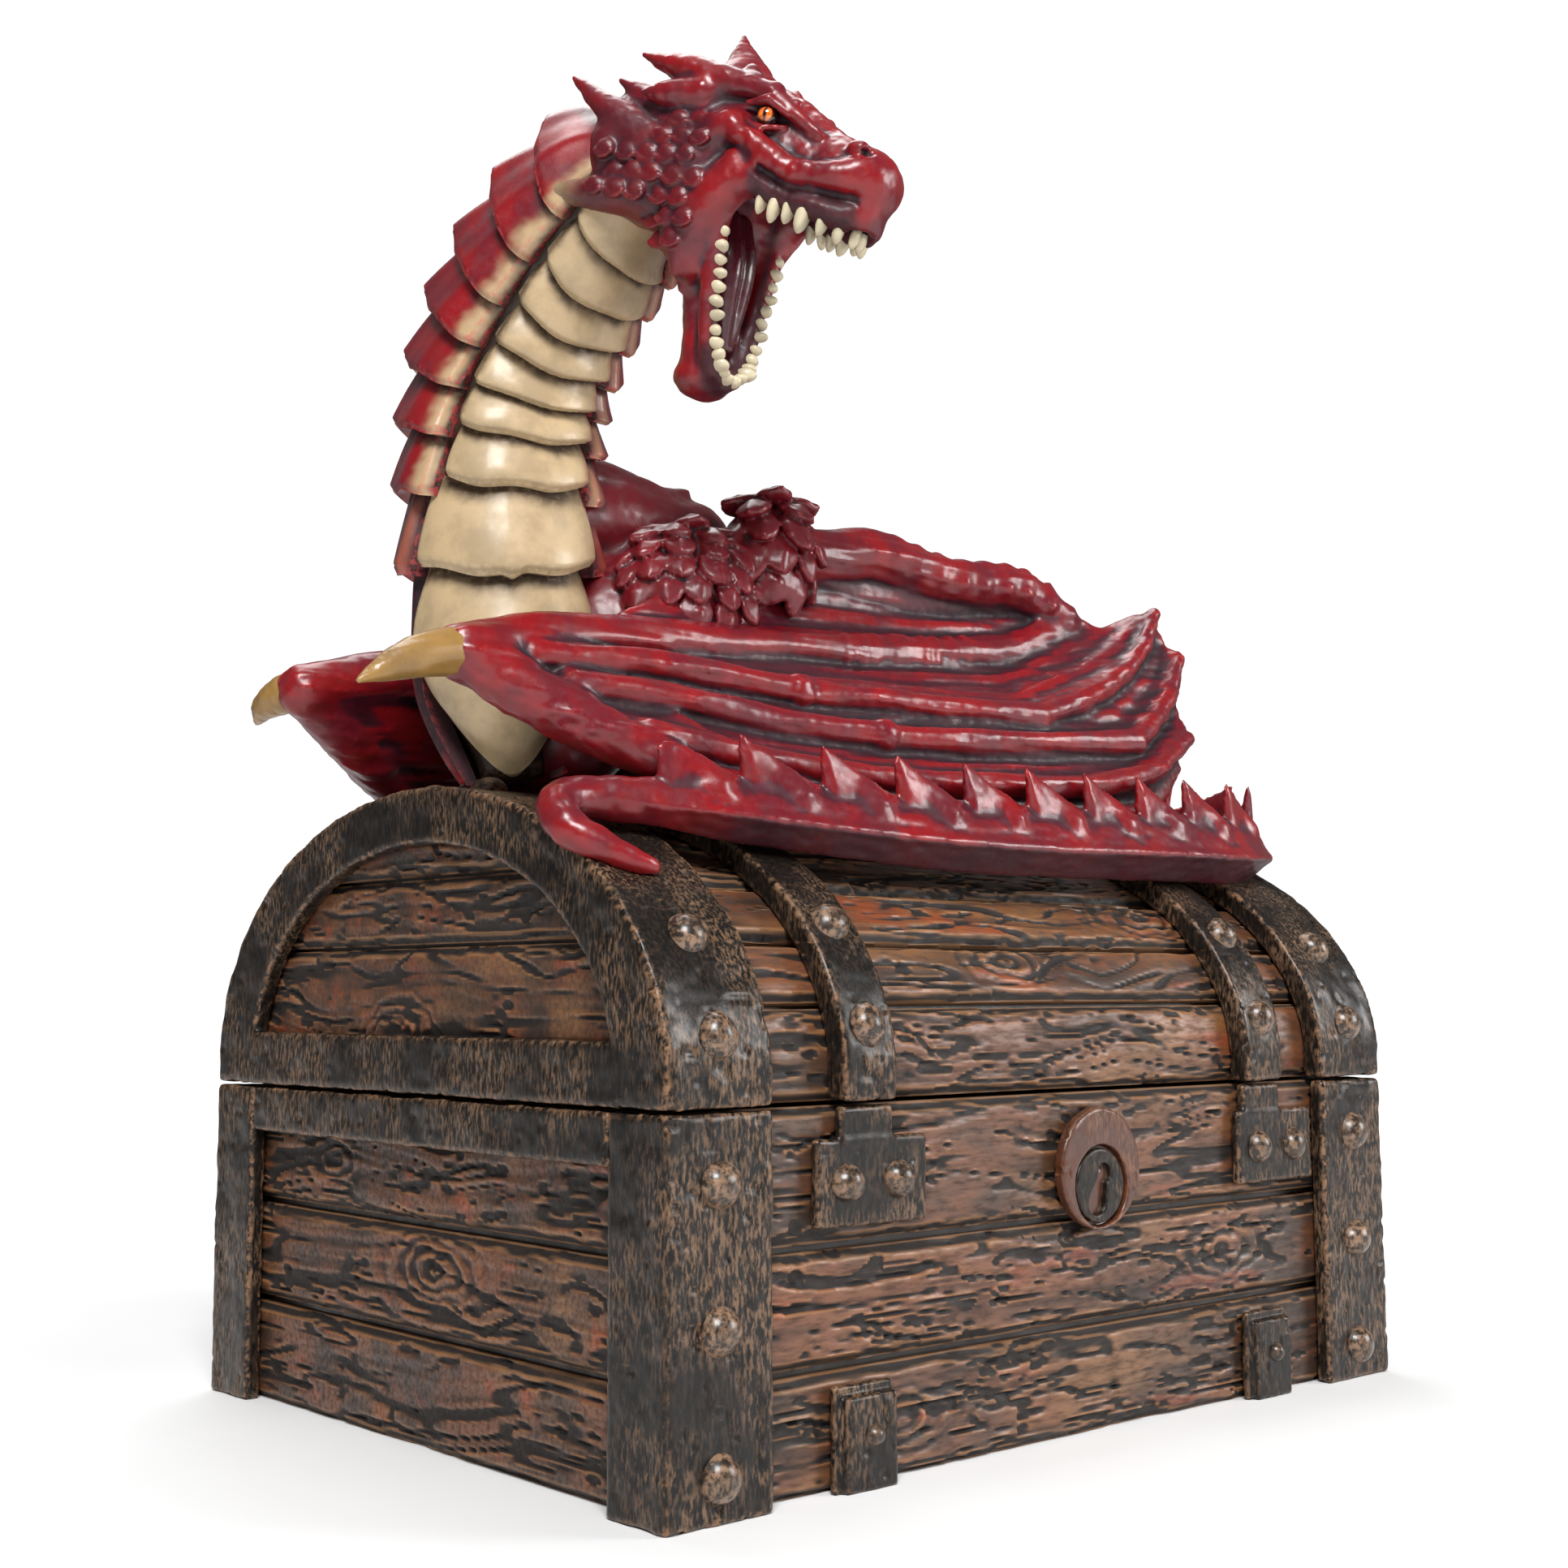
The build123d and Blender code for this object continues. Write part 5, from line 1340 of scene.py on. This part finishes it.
def head_skin():
    """Skull, lower jaw and horns in one skin, with the paint's cream parts and painted shade in the mouth, on
    the gums and on the cheeks.
    """
    co, faces = sculpt_head().cast(1)
    co = roughened(co, faces, 0.13 * noise(co, 1.7, 3) + 0.06 * noise(co, 0.8, 4))
    x, y, z = co.T
    wide = np.abs(y)
    spike = smoothstep(-12.5, -17.0, x + 0.6 * noise(co, 1.5, 6)) * smoothstep(0.6, -1.0, z)
    throat = smoothstep(-2.0, -7.0, x - 0.2 * z) * smoothstep(-3.5, -7.5, z)
    # Painted shade inside the mouth and on the gums under the lips, and at half strength on the cheek scales.
    inside = smoothstep(6.0, 4.8, wide) * smoothstep(3.8, 5.4, x) * smoothstep(1.5, -1.5, z)
    inside = inside * smoothstep(24.4, 22.6, x) * (wide < 5.2 - 0.06 * np.maximum(x - 10, 0))
    lip = np.interp(x, [9.5, 10.8, 15.2, 20.4, 25.4], [3.2, 2.6, 1.0, 0.7, 0.8])
    gum = smoothstep(lip + 0.35, lip - 0.35, z + 0.25 * noise(co, 1.2, 9)) * smoothstep(8.6, 10.0, x)
    gum = gum * smoothstep(26.3, 25.2, x) * (z > -4)
    cheek = smoothstep(4.5, 1.5, x) * smoothstep(-9.0, -6.0, z) * smoothstep(10.5, 8.0, z)
    cheek = cheek * smoothstep(5.0, 7.0, wide)
    dark = averaged(np.maximum(inside, gum)[:, None] * np.ones((1, 3)), faces, 4)[:, 0]
    piece("head_cast", from_head(co), faces, "lid", RED, ("skull", "lower_jaw", "head_horns"),
          {"second": np.maximum(spike, throat * 0.6), "shade": np.maximum(0.88 * dark, 0.5 * cheek)},
          hollow_rounds=(5, 70))


def tongue():
    """A tongue with a furrow down its middle."""
    clay = Clay((-3, -5, -22), (12, 5, 2), 0.25)
    clay.pair([(2.0, 1.3, -2, 1.9), (3.6, 1.4, -7, 2.0), (4.2, 1.2, -12, 1.6), (4.8, 0.5, -17.5, 0.9)],
              0.5, n=10)
    co, faces = clay.cast(1)
    piece("tongue_cast", from_head(co), faces, "lid", MOUTH, ("tongue",))


def eyes():
    """Two balls whose rings run from the pupil back, with an upright slit."""
    turn = np.linspace(0, 2 * np.pi, 28, endpoint=False)
    polar = np.linspace(0.02, 3.12, 30)
    made = []
    for side in (-1, 1):
        look = unit(vec(0.28, side, 0.05))
        a = unit(np.cross(look, UP))
        b = np.cross(a, look)
        spokes = np.outer(np.cos(turn), a) + np.outer(np.sin(turn), b)
        at = vec(8.9, side * 6.6, 10.4)
        rings = [at + 1.6 * (math.cos(t) * look + math.sin(t) * spokes) for t in polar]
        made.append((np.vstack(rings), tube_faces(len(polar), len(turn))))
    co, faces = joined(made)
    from_pupil = np.tile(np.repeat(polar, len(turn)), 2)
    across = np.tile(np.cos(turn), 2 * len(polar)) * np.sin(from_pupil)
    up = np.tile(np.sin(turn), 2 * len(polar)) * np.sin(from_pupil)
    slit = smoothstep(0.24, 0.12, np.abs(across) + 0.22 * up ** 2)
    rim = smoothstep(0.55, 0.8, from_pupil)
    piece("eyeballs", from_head(co), faces, "lid", EYE, ("eyes",), {"slit": np.maximum(slit, rim)})


# ---------------------------------------------------------------- dragon: wings, body and tail
# Bones as rows of x, y, z and radius, from the wrist or the shoulder outwards.
FOREARM = [
    (-75.5, -20.0, 99.4, 3.3), (-66, -19.4, 101.8, 3.3), (-56, -18.6, 103.4, 3.0), (-30, -16.8, 105.6, 2.8),
    (0, -17.2, 107.6, 2.8), (24, -18.0, 110.6, 2.6), (38, -18.8, 117.0, 2.0),
]
HUMERUS = [
    (-17, -12.5, 121.0, 4.6), (-8, -12.6, 122.0, 4.1), (1, -13.2, 123.2, 4.0), (15, -15.0, 121.2, 3.5),
    (28, -17.0, 121.4, 3.2), (38, -18.8, 117.6, 2.6),
]
LEADING = [
    (-74.5, -20.4, 98.6, 3.4), (-68, -23.2, 94.6, 3.6), (-60, -27.4, 90.0, 3.4), (-52.6, -31.6, 86.2, 2.8),
]
FINGERS = [
    [(-66, -21.8, 99.6, 1.9), (-48, -23.4, 100.0, 1.9), (-28, -25.0, 99.0, 1.8), (-25, -25.4, 98.9, 2.3),
     (-22, -25.6, 98.8, 1.8), (0, -28.6, 98.6, 1.7), (17, -30.4, 98.8, 1.9), (20, -30.6, 99.2, 1.6),
     (33, -30.0, 103.8, 1.4), (46, -27.8, 111.2, 1.2), (53.6, -25.4, 119.4, 0.6)],
    [(-62, -24.6, 96.2, 1.9), (-46, -26.2, 95.4, 1.9), (-30, -28.0, 93.8, 1.7), (-16, -29.8, 93.0, 1.8),
     (-13.5, -30.2, 92.9, 2.4), (-11, -30.4, 92.8, 1.8), (12, -33.4, 93.8, 1.7), (35, -34.0, 95.8, 1.7),
     (38, -33.8, 96.6, 1.6), (49, -31.0, 103.8, 1.3), (55.6, -28.4, 111.6, 0.6)],
    [(-54, -29.6, 90.2, 1.9), (-44, -31.2, 88.6, 1.8), (-30, -32.8, 87.2, 1.7), (-16, -34.6, 86.4, 1.7),
     (4, -36.8, 86.8, 1.7), (20, -37.4, 87.6, 1.7), (23, -37.2, 87.9, 1.9), (38, -36.4, 91.2, 1.3),
     (51, -33.4, 97.6, 0.6)],
]
# Where the skin ends: the forearm's line up to the elbow, the lower hem and the edge behind the wrist.
UNDER_ARM = [p[:3] for p in FOREARM[1:]] + [(46.0, -20.5, 115.6)]
HEM = [(-52, -30, 86), (-40, -33, 84.6), (-20, -34.5, 83.4), (0, -36, 83.0), (20, -36.0, 83.6), (40, -34, 86),
       (50.5, -31.5, 93)]
WRIST_EDGE = [(-66, -20, 100), (-58, -21.5, 97.5), (-50, -25.5, 93.6), (-44, -29.5, 89.8)]
CLAWS = {
    "left": [(-73.5, -20.2, 99.4, 3.0), (-79, -20.4, 98.6, 2.9), (-85, -21.2, 96.6, 2.1),
             (-90.6, -22.0, 93.8, 0.35)],
    "right": [(-73.0, 19.6, 99.4, 3.0), (-76.2, 22.6, 98.9, 2.8), (-77.6, 26.6, 97.4, 1.9),
              (-77.0, 30.6, 95.4, 0.35)],
}
# Points along each bone that a wing's skin spans.
RIBS = 200


def between(p, q, sag, share):
    """Rows of points from curve p to curve q at those shares, sagging by sag millimetres in the middle."""
    t = np.reshape(share, (-1, 1))
    return [a[:3] * (1 - t) + b[:3] * t + np.sin(np.pi * t) * np.array(sag)
            for a, b in zip(curve(p, RIBS), curve(q, RIBS))]


def sculpt_wing():
    """The left wing: arm bones, three fingers and the skin between them, hanging in folds to the tail."""
    clay = Clay((-82, -43, 80), (60, -1, 130), 0.40)
    first, second, third = [[p[:3] for p in finger] for finger in FINGERS]
    leading = [p[:3] for p in LEADING]
    for p, q, sag, steps, thick, soft in (
        (HUMERUS, FOREARM[2:], (0, 2.2, 0.4), 6, 0.95, 1.0),
        (UNDER_ARM, first, (0, 2.4, -0.2), 6, 0.85, 0.9),
        (first, second, (0, 2.3, 0.2), 5, 0.85, 0.9),
        (second, third, (0, 2.5, 0.2), 5, 0.85, 0.9),
        (third, HEM, (0, 1.4, 0), 4, 0.85, 0.9),
        (leading, WRIST_EDGE, (0, 0.8, 0), 5, 1.3, 1.2),
    ):
        clay.sheet(between(p, q, sag, np.linspace(0, 1, steps)), thick, soft)
    clay.chain(HUMERUS, 1.6, n=60)
    clay.chain(FOREARM, 1.4, n=90)
    clay.chain(LEADING, 1.8, n=40)
    for finger in FINGERS:
        clay.chain(finger, 1.1, n=110)
    for p, q, sag, lines in (
        (UNDER_ARM, first, (0, 2.4, -0.2), ((0.42, 0.12, 0.95), (0.72, 0.3, 1.0))),
        (first, second, (0, 2.3, 0.2), ((0.5, 0.25, 1.0),)),
        (second, third, (0, 2.5, 0.2), ((0.36, 0.4, 1.0), (0.68, 0.15, 0.8))),
        (HUMERUS, FOREARM[2:], (0, 2.2, 0.4), ((0.35, 0.1, 0.9), (0.65, 0.35, 1.0))),
    ):
        folds(clay, p, q, sag, lines)
    for k in range(9):
        x = -10 + 3.1 * k + 0.6 * math.sin(k * 2.7)
        y, z, _ = at_x(FOREARM, x)
        clay.limb((x, y - 2.2, z - 1.0), (x + 0.4, y - 0.8, z + 2.2), 0.3, 0.5, 1.3)
    for k in range(8):
        x = 3 + 4.3 * k + 0.8 * math.sin(k * 3.1)
        y, z, _ = at_x(HUMERUS, x)
        clay.limb((x, y - 3.0, z - 0.8), (x + 1.8, y - 0.6, z + 3.0), 0.5, 0.6, 1.8)
    return clay


def at_x(points, x):
    """y, z and radius where straight lines through the rows pass x."""
    xs, *columns = np.transpose(points)
    return [np.interp(x, xs, column) for column in columns]


def folds(clay, p, q, sag, lines):
    """Soft creases in a wing's skin: each is the share across, and where along it starts and ends."""
    for t, first, last in lines:
        rows = [row[0] - vec(0, 0.45, 0) for row in between(p, q, sag, t)]
        rows = rows[int(first * RIBS):max(int(last * RIBS), 2)]
        taper = np.sin(np.linspace(0.15, math.pi * 0.85, len(rows)))
        clay.chain([(*row, 0.35 + 0.65 * w) for row, w in zip(rows, taper)], 1.0)


def wings():
    """The left wing and its mirror image, and the wrist claws."""
    co, faces = sculpt_wing().cast(3)
    streaks = 0.26 * noise(co, (16, 1.5, 1.5), 81) + 0.13 * noise(co, (8, 0.8, 0.8), 82)
    co = roughened(co, faces, streaks + 0.05 * noise(co, 1.0, 83))
    for side, turn in (("left", 1), ("right", -1)):
        nodes = [f"{side}_wing_{k}" for k in ("arm", "fingers", "membrane")]
        piece(f"{side}_wing_cast", co * vec(1, turn, 1), faces[:, ::turn], "lid", RED, nodes,
              hollow_rounds=(6, 70))
        claw(side)


def claw(side):
    """A wing's bent wrist claw."""
    spots = np.array(CLAWS[side])
    clay = Clay(spots[:, :3].min(0) - 5, spots[:, :3].max(0) + 5, 0.25)
    clay.chain(spots, 0.4, n=24)
    co, faces = clay.cast(1)
    co = roughened(co, faces, 0.14 * noise(co, (6, 0.9, 0.9), 83))
    piece(f"{side}_claw_cast", co, faces, "lid", OCHRE, (f"{side}_wing_claw",))


def leaf_scale(clay, at, out, down, size):
    """A keeled, pointed scale lying on a surface, its free tip raised."""
    at, out, down = np.array(at), unit(out), unit(down)
    across = np.cross(out, down)
    way = unit(down + 0.30 * out)
    turn = (way, across, np.cross(way, across))
    clay.ball(at + down * 0.5 * size, (1.2 * size, 0.95 * size, 0.36 * size), 0.22, turn=turn)
    clay.limb(at + way * 0.7 * size, at + way * 1.65 * size, 0.42 * size, 0.14 * size, 0.5)


def scaled_dome(clay, c, r, down, size, seed, facing, bottom):
    """Rows of pointed scales over one side of an ellipsoid, overlapping like tiles, to bottom degrees up."""
    top = 64
    rng = np.random.default_rng(seed)
    c, r = np.array(c, float), np.array(r, float)
    axis = unit(facing)
    up = -unit(down - (down @ axis) * axis)
    right = np.cross(up, axis)
    rows = int(round(r[2] * math.radians(top - bottom) / (1.35 * size)))
    for i in range(rows, -1, -1):
        lift = math.radians(top + (bottom - top) * i / rows)
        around = r[:2].mean() * math.cos(lift) * math.radians(190)
        count = max(int(round(around / (1.75 * size))), 3)
        for j in range(count):
            turn = ((j + 0.5 * (i % 2) + 0.25) / count - 0.5) * math.radians(190)
            d = math.cos(lift) * (math.cos(turn) * axis + math.sin(turn) * right) + math.sin(lift) * up
            at = c + d * r
            out = unit(d / r)
            fall = unit(-up + 0.1 * right * rng.uniform(-1, 1))
            leaf_scale(clay, at, out, fall - (fall @ out) * out, size * rng.uniform(0.88, 1.12))


SPINE = [(-46, 1, 96, 8), (-43, 1, 101, 9.5), (-38, 0, 108, 11.0), (-28, 0, 111, 12.5), (-12, 0, 108, 12),
         (8, 0, 103, 11), (28, 0, 98, 9.5), (46, 2, 93.5, 7.6), (60, 4.5, 90, 6.2)]


def torso():
    """The torso between the wings, with its scaled shoulders and a smooth ridge behind the neck."""
    clay = Clay((-66, -27, 80), (70, 27, 137), 0.45)
    clay.chain(SPINE, 3.0, n=26)
    clay.chain([(x, y, z - 0.55 * r, r * 0.95) for x, y, z, r in SPINE], 3.0, n=26)
    clay.chain([(-49, 3, 122, 7.5), (-40, 2, 125, 7.0), (-31, 1, 124, 6.6), (-24, 0, 124, 6.0)], 3.0, n=10)
    clay.chain([(-46, 2, 132.0, 2.6), (-38, 1, 131.2, 2.4), (-30, 0, 129.4, 2.0), (-24.6, 0, 131.4, 0.7)],
               2.2, n=10)
    for side in (-1, 1):
        clay.ball((-30, side * 8.5, 114.5), (11, 7.0, 10), 2.0)
        clay.ball((-19, side * 11.5, 120.5), (7.0, 5.6, 7.6), 1.2)
        down = vec(-0.15, side * 0.35, -1)
        scaled_dome(clay, (-31, side * 9.0, 113.0), (11.0, 7.4, 10.8), down, 2.6, 21,
                    vec(-0.25, side, 0.25), -40)
        scaled_dome(clay, (-18.5, side * 11.8, 121.0), (7.0, 5.8, 8.2), down, 2.9, 22,
                    vec(-0.1, side, 0.35), -44)
    for k in range(11):
        x = -18 + 7.0 * k
        y = at_x(SPINE, x)[0]
        radius = at_x(SPINE, x)[2]
        z = np.interp(x, [p[0] for p in SPINE], [p[2] + p[3] for p in SPINE])
        clay.chain([(x - 3.0, y, z - 1.0, 2.2), (x + 0.5, y, z + 1.6, 1.2), (x + 3.4, y, z + 3.6, 0.35)])
        for side in (-1, 1):
            for j in range(1, 5):
                lift = math.radians(90 - 24 * j)
                out = vec(0, side * math.cos(lift), math.sin(lift))
                at = vec(x + 2.0 * (j % 2), y, z - radius) + out * radius
                leaf_scale(clay, at, out, vec(1, 0, -0.1), 1.5)
    clay.put_field(lid_top, 0.2, carve=True)
    co, faces = clay.cast(1)
    co = roughened(co, faces, 0.12 * noise(co, 2.0, 91) + 0.06 * noise(co, 0.9, 92))
    piece("dragon_torso_cast", co, faces, "lid", DARK_RED, ("dragon_torso",), hollow_rounds=(4, 22))


TAIL = [
    (57, 5.0, 90.0, 6.2), (67, 3.0, 87.6, 5.8), (74.5, -6, 84.4, 5.4), (75.4, -17, 82.4, 5.1),
    (69.5, -27.5, 80.7, 4.9), (56, -34.4, 79.6, 4.7), (36, -37.0, 79.0, 4.5), (12, -38.0, 78.4, 4.3),
    (-12, -37.6, 78.4, 4.1), (-34, -36.2, 79.4, 3.7), (-52, -33.8, 80.6, 3.2), (-62, -32.0, 81.2, 2.9),
]
TIP = [
    (-60, -32.4, 81.0, 2.7), (-66.4, -31.6, 81.0, 2.6), (-70.2, -33.0, 79.6, 2.5), (-70.8, -36.4, 76.8, 2.35),
    (-68.0, -39.2, 74.6, 2.0), (-64.6, -40.8, 73.0, 1.5), (-62.2, -41.6, 72.2, 0.9),
]
FIN_PITCH = 12.4


def tail_frames(n):
    """Along the tail: positions and radii, the way along, the way out and the distance from the tip end."""
    p = curve(TAIL, n)
    along = np.gradient(p[:, :3], axis=0)
    along /= np.linalg.norm(along, axis=1)[:, None]
    out = np.cross(along, UP)
    out /= np.linalg.norm(out, axis=1)[:, None]
    flip = np.sign(((p[:, :3] - vec(10, 0, 0)) * vec(1, 1, 0) * out).sum(1))
    far = np.concatenate([[0.0], np.cumsum(np.linalg.norm(np.diff(p[:, :3], axis=0), axis=1))])
    return p, along, out * flip[:, None], far[-1] - far


def fin_column(at, r, along, out, u, last):
    """Limbs up the tail's outer side at one place: lip, band, rib and the fin, u from the tip end."""
    t = ((u - 8.0) / FIN_PITCH) % 1.0
    size = smoothstep(2.0, 12.0, u) * smoothstep(last - 2, last - 16, u)
    peak = 0.88
    saw = (1 - t) ** 1.25 if t < peak else (1 - peak) ** 1.25 + (t - peak) / 0.12 * 0.8
    height = size * (0.6 + 6.2 * saw)
    lean = along * (3.0 * saw + 0.6) * size
    r = r * (0.66 + 0.34 * smoothstep(1.0, 16.0, u))
    rib = 1.5 * size * np.exp(-((t - 0.50) / 0.15) ** 2)
    foot = at + out * 0.42 * r - UP * 0.90 * r
    lip = at + out * 1.26 * r - UP * 0.22 * r
    low = at + out * 0.92 * r + UP * 0.22 * r
    mid = at + out * (0.60 * r + rib) + UP * 0.78 * r + lean * 0.25
    top = at + out * (0.45 * r + 0.9 * saw) + UP * (0.86 * r + height) + lean
    rows = [(foot, 0.8), (lip, 0.60), (low, 1.1), (mid, 1.0), (0.45 * mid + 0.55 * top, 0.72),
            (top, 0.38 if u > 6 else 0.8)]
    limbs = [(a, b, ra, rb) for (a, ra), (b, rb) in zip(rows, rows[1:])]
    return [*limbs, (mid, at + UP * 0.6 * r, 1.0, 1.4)]


def tail():
    """The tail along the lid's front: a band with a sharp lip, a comb of swept fins and a curled tip."""
    clay = Clay((-77, -48, 69), (86, 14, 110), 0.42)
    p, along, out, far = tail_frames(430)
    core = p.copy()
    core[:, 3] *= 0.86
    clay.chain(core[::6], 1.2)
    last = far.max()
    columns = []
    for spot, way, aside, u in zip(p, along, out, far):
        columns += fin_column(spot[:3], spot[3], way, aside, u, last)
    clay.strokes(columns, 0.8)
    lip_end = smoothstep(0.0, 14.0, far)[:, None]
    lip_line = p[:, :3] + out * (0.6 + 0.7 * lip_end) * p[:, 3:] - UP * 0.20 * p[:, 3:]
    clay.chain(np.column_stack([lip_line, np.full(len(p), 0.62)])[::4], 0.3)
    clay.put_field(lid_top, 0.2, carve=True)
    clay.chain(TIP, 0.8, n=40)
    co, faces = clay.cast(2)
    facing = corner_normals(co, faces)
    co = roughened(co, faces, 0.12 * noise(co, (3.0, 1.2, 1.2), 101) + 0.05 * noise(co, 0.8, 102))
    under = smoothstep(-0.10, -0.60, facing[:, 2]) * smoothstep(83, 79, co[:, 2])
    under = under * smoothstep(-58, -44, co[:, 0])
    piece("tail_cast", co, faces, "lid", RED, ("dragon_tail", "tail_fins", "tail_tip"),
          {"shade": under * 0.8}, hollow_rounds=(4, 60))


# ---------------------------------------------------------------- stage, light and camera
def floor():
    """A pale floor that fades to white away from the object, for the camera only."""
    half = 6.0
    corners = [(-half, -half, 0), (half, -half, 0), (half, half, 0), (-half, half, 0)]
    me = bpy.data.meshes.new("floor")
    me.from_pydata(corners, [], [(0, 1, 2, 3)])
    m = Mix("floor_white")
    far = m.nodes.new("ShaderNodeVectorMath")
    far.operation = "LENGTH"
    m.links.new(m.coords, far.inputs[0])
    seen = m.nodes.new("ShaderNodeLightPath").outputs["Is Camera Ray"]
    glow = m.math("MULTIPLY", seen, m.ramp(far.outputs["Value"], 0.10, 0.45))
    shine = m.ramp(m.noise(60.0), 0.3, 0.7, 0.5, 0.6)
    me.materials.append(m.set(Base_Color=(0.86, 0.86, 0.86), Roughness=shine, Emission_Color=(1.0, 1.0, 1.0),
                              Emission_Strength=glow))
    link("floor", me)


def studio(light=0.14, backdrop=1.05):
    """A white world: dim as a light, bright behind the object."""
    world = bpy.data.worlds.new("studio")
    bpy.context.scene.world = world
    world.use_nodes = True
    sky = world.node_tree
    seen = sky.nodes.new("ShaderNodeLightPath")
    strength = sky.nodes.new("ShaderNodeMapRange")
    strength.inputs["To Min"].default_value = light
    strength.inputs["To Max"].default_value = backdrop
    sky.links.new(seen.outputs["Is Camera Ray"], strength.inputs["Value"])
    sky.links.new(strength.outputs[0], sky.nodes["Background"].inputs[1])
    sky.nodes["Background"].inputs[0].default_value = (1.0, 1.0, 1.0, 1)
    bpy.context.scene.view_settings.view_transform = "Standard"


def lamp(name, at, to, size, power):
    """A soft square light aimed at a point."""
    data = bpy.data.lights.new(name, "AREA")
    data.shape = "SQUARE"
    data.size = size
    data.energy = power
    ob = link(name, data)
    ob.location = at
    ob.rotation_mode = "QUATERNION"
    ob.rotation_quaternion = (Vector(to) - Vector(at)).to_track_quat("-Z", "Y")


def camera(at, yaw, pitch, roll, focal, sensor=36.0):
    """The camera at a place in metres, turned in radians, its focal length and sensor in millimetres."""
    data = bpy.data.cameras.new("photo_view")
    data.sensor_width = sensor
    data.lens = focal
    data.clip_start = 0.01
    ob = link("photo_view", data)
    ob.location = at
    ob.rotation_mode = "XYZ"
    ob.rotation_euler = (math.pi / 2 + pitch, roll, -yaw)
    bpy.context.scene.camera = ob


base_wood()
lid_staves()
lid_panels()
base_irons()
lid_irons()
rivets()
lock()
hidden_hardware()
neck_core()
belly_scutes()
back_scutes()
head_skin()
tongue()
teeth()
eyes()
wings()
torso()
tail()
floor()
studio()
lamp("key", at=(-0.42, -0.50, 0.66), to=(0, 0, 0.08), size=0.32, power=9.5)
lamp("side", at=(0.62, -0.66, 0.34), to=(0, 0, 0.08), size=0.34, power=4.5)
lamp("top", at=(0.10, 0.30, 0.85), to=(0, 0, 0.10), size=0.5, power=4.0)
camera((-0.2043279, -0.2251331, 0.0575937), yaw=0.7241, pitch=0.1051, roll=0.0025, focal=45.47441)
bpy.context.view_layer.update()
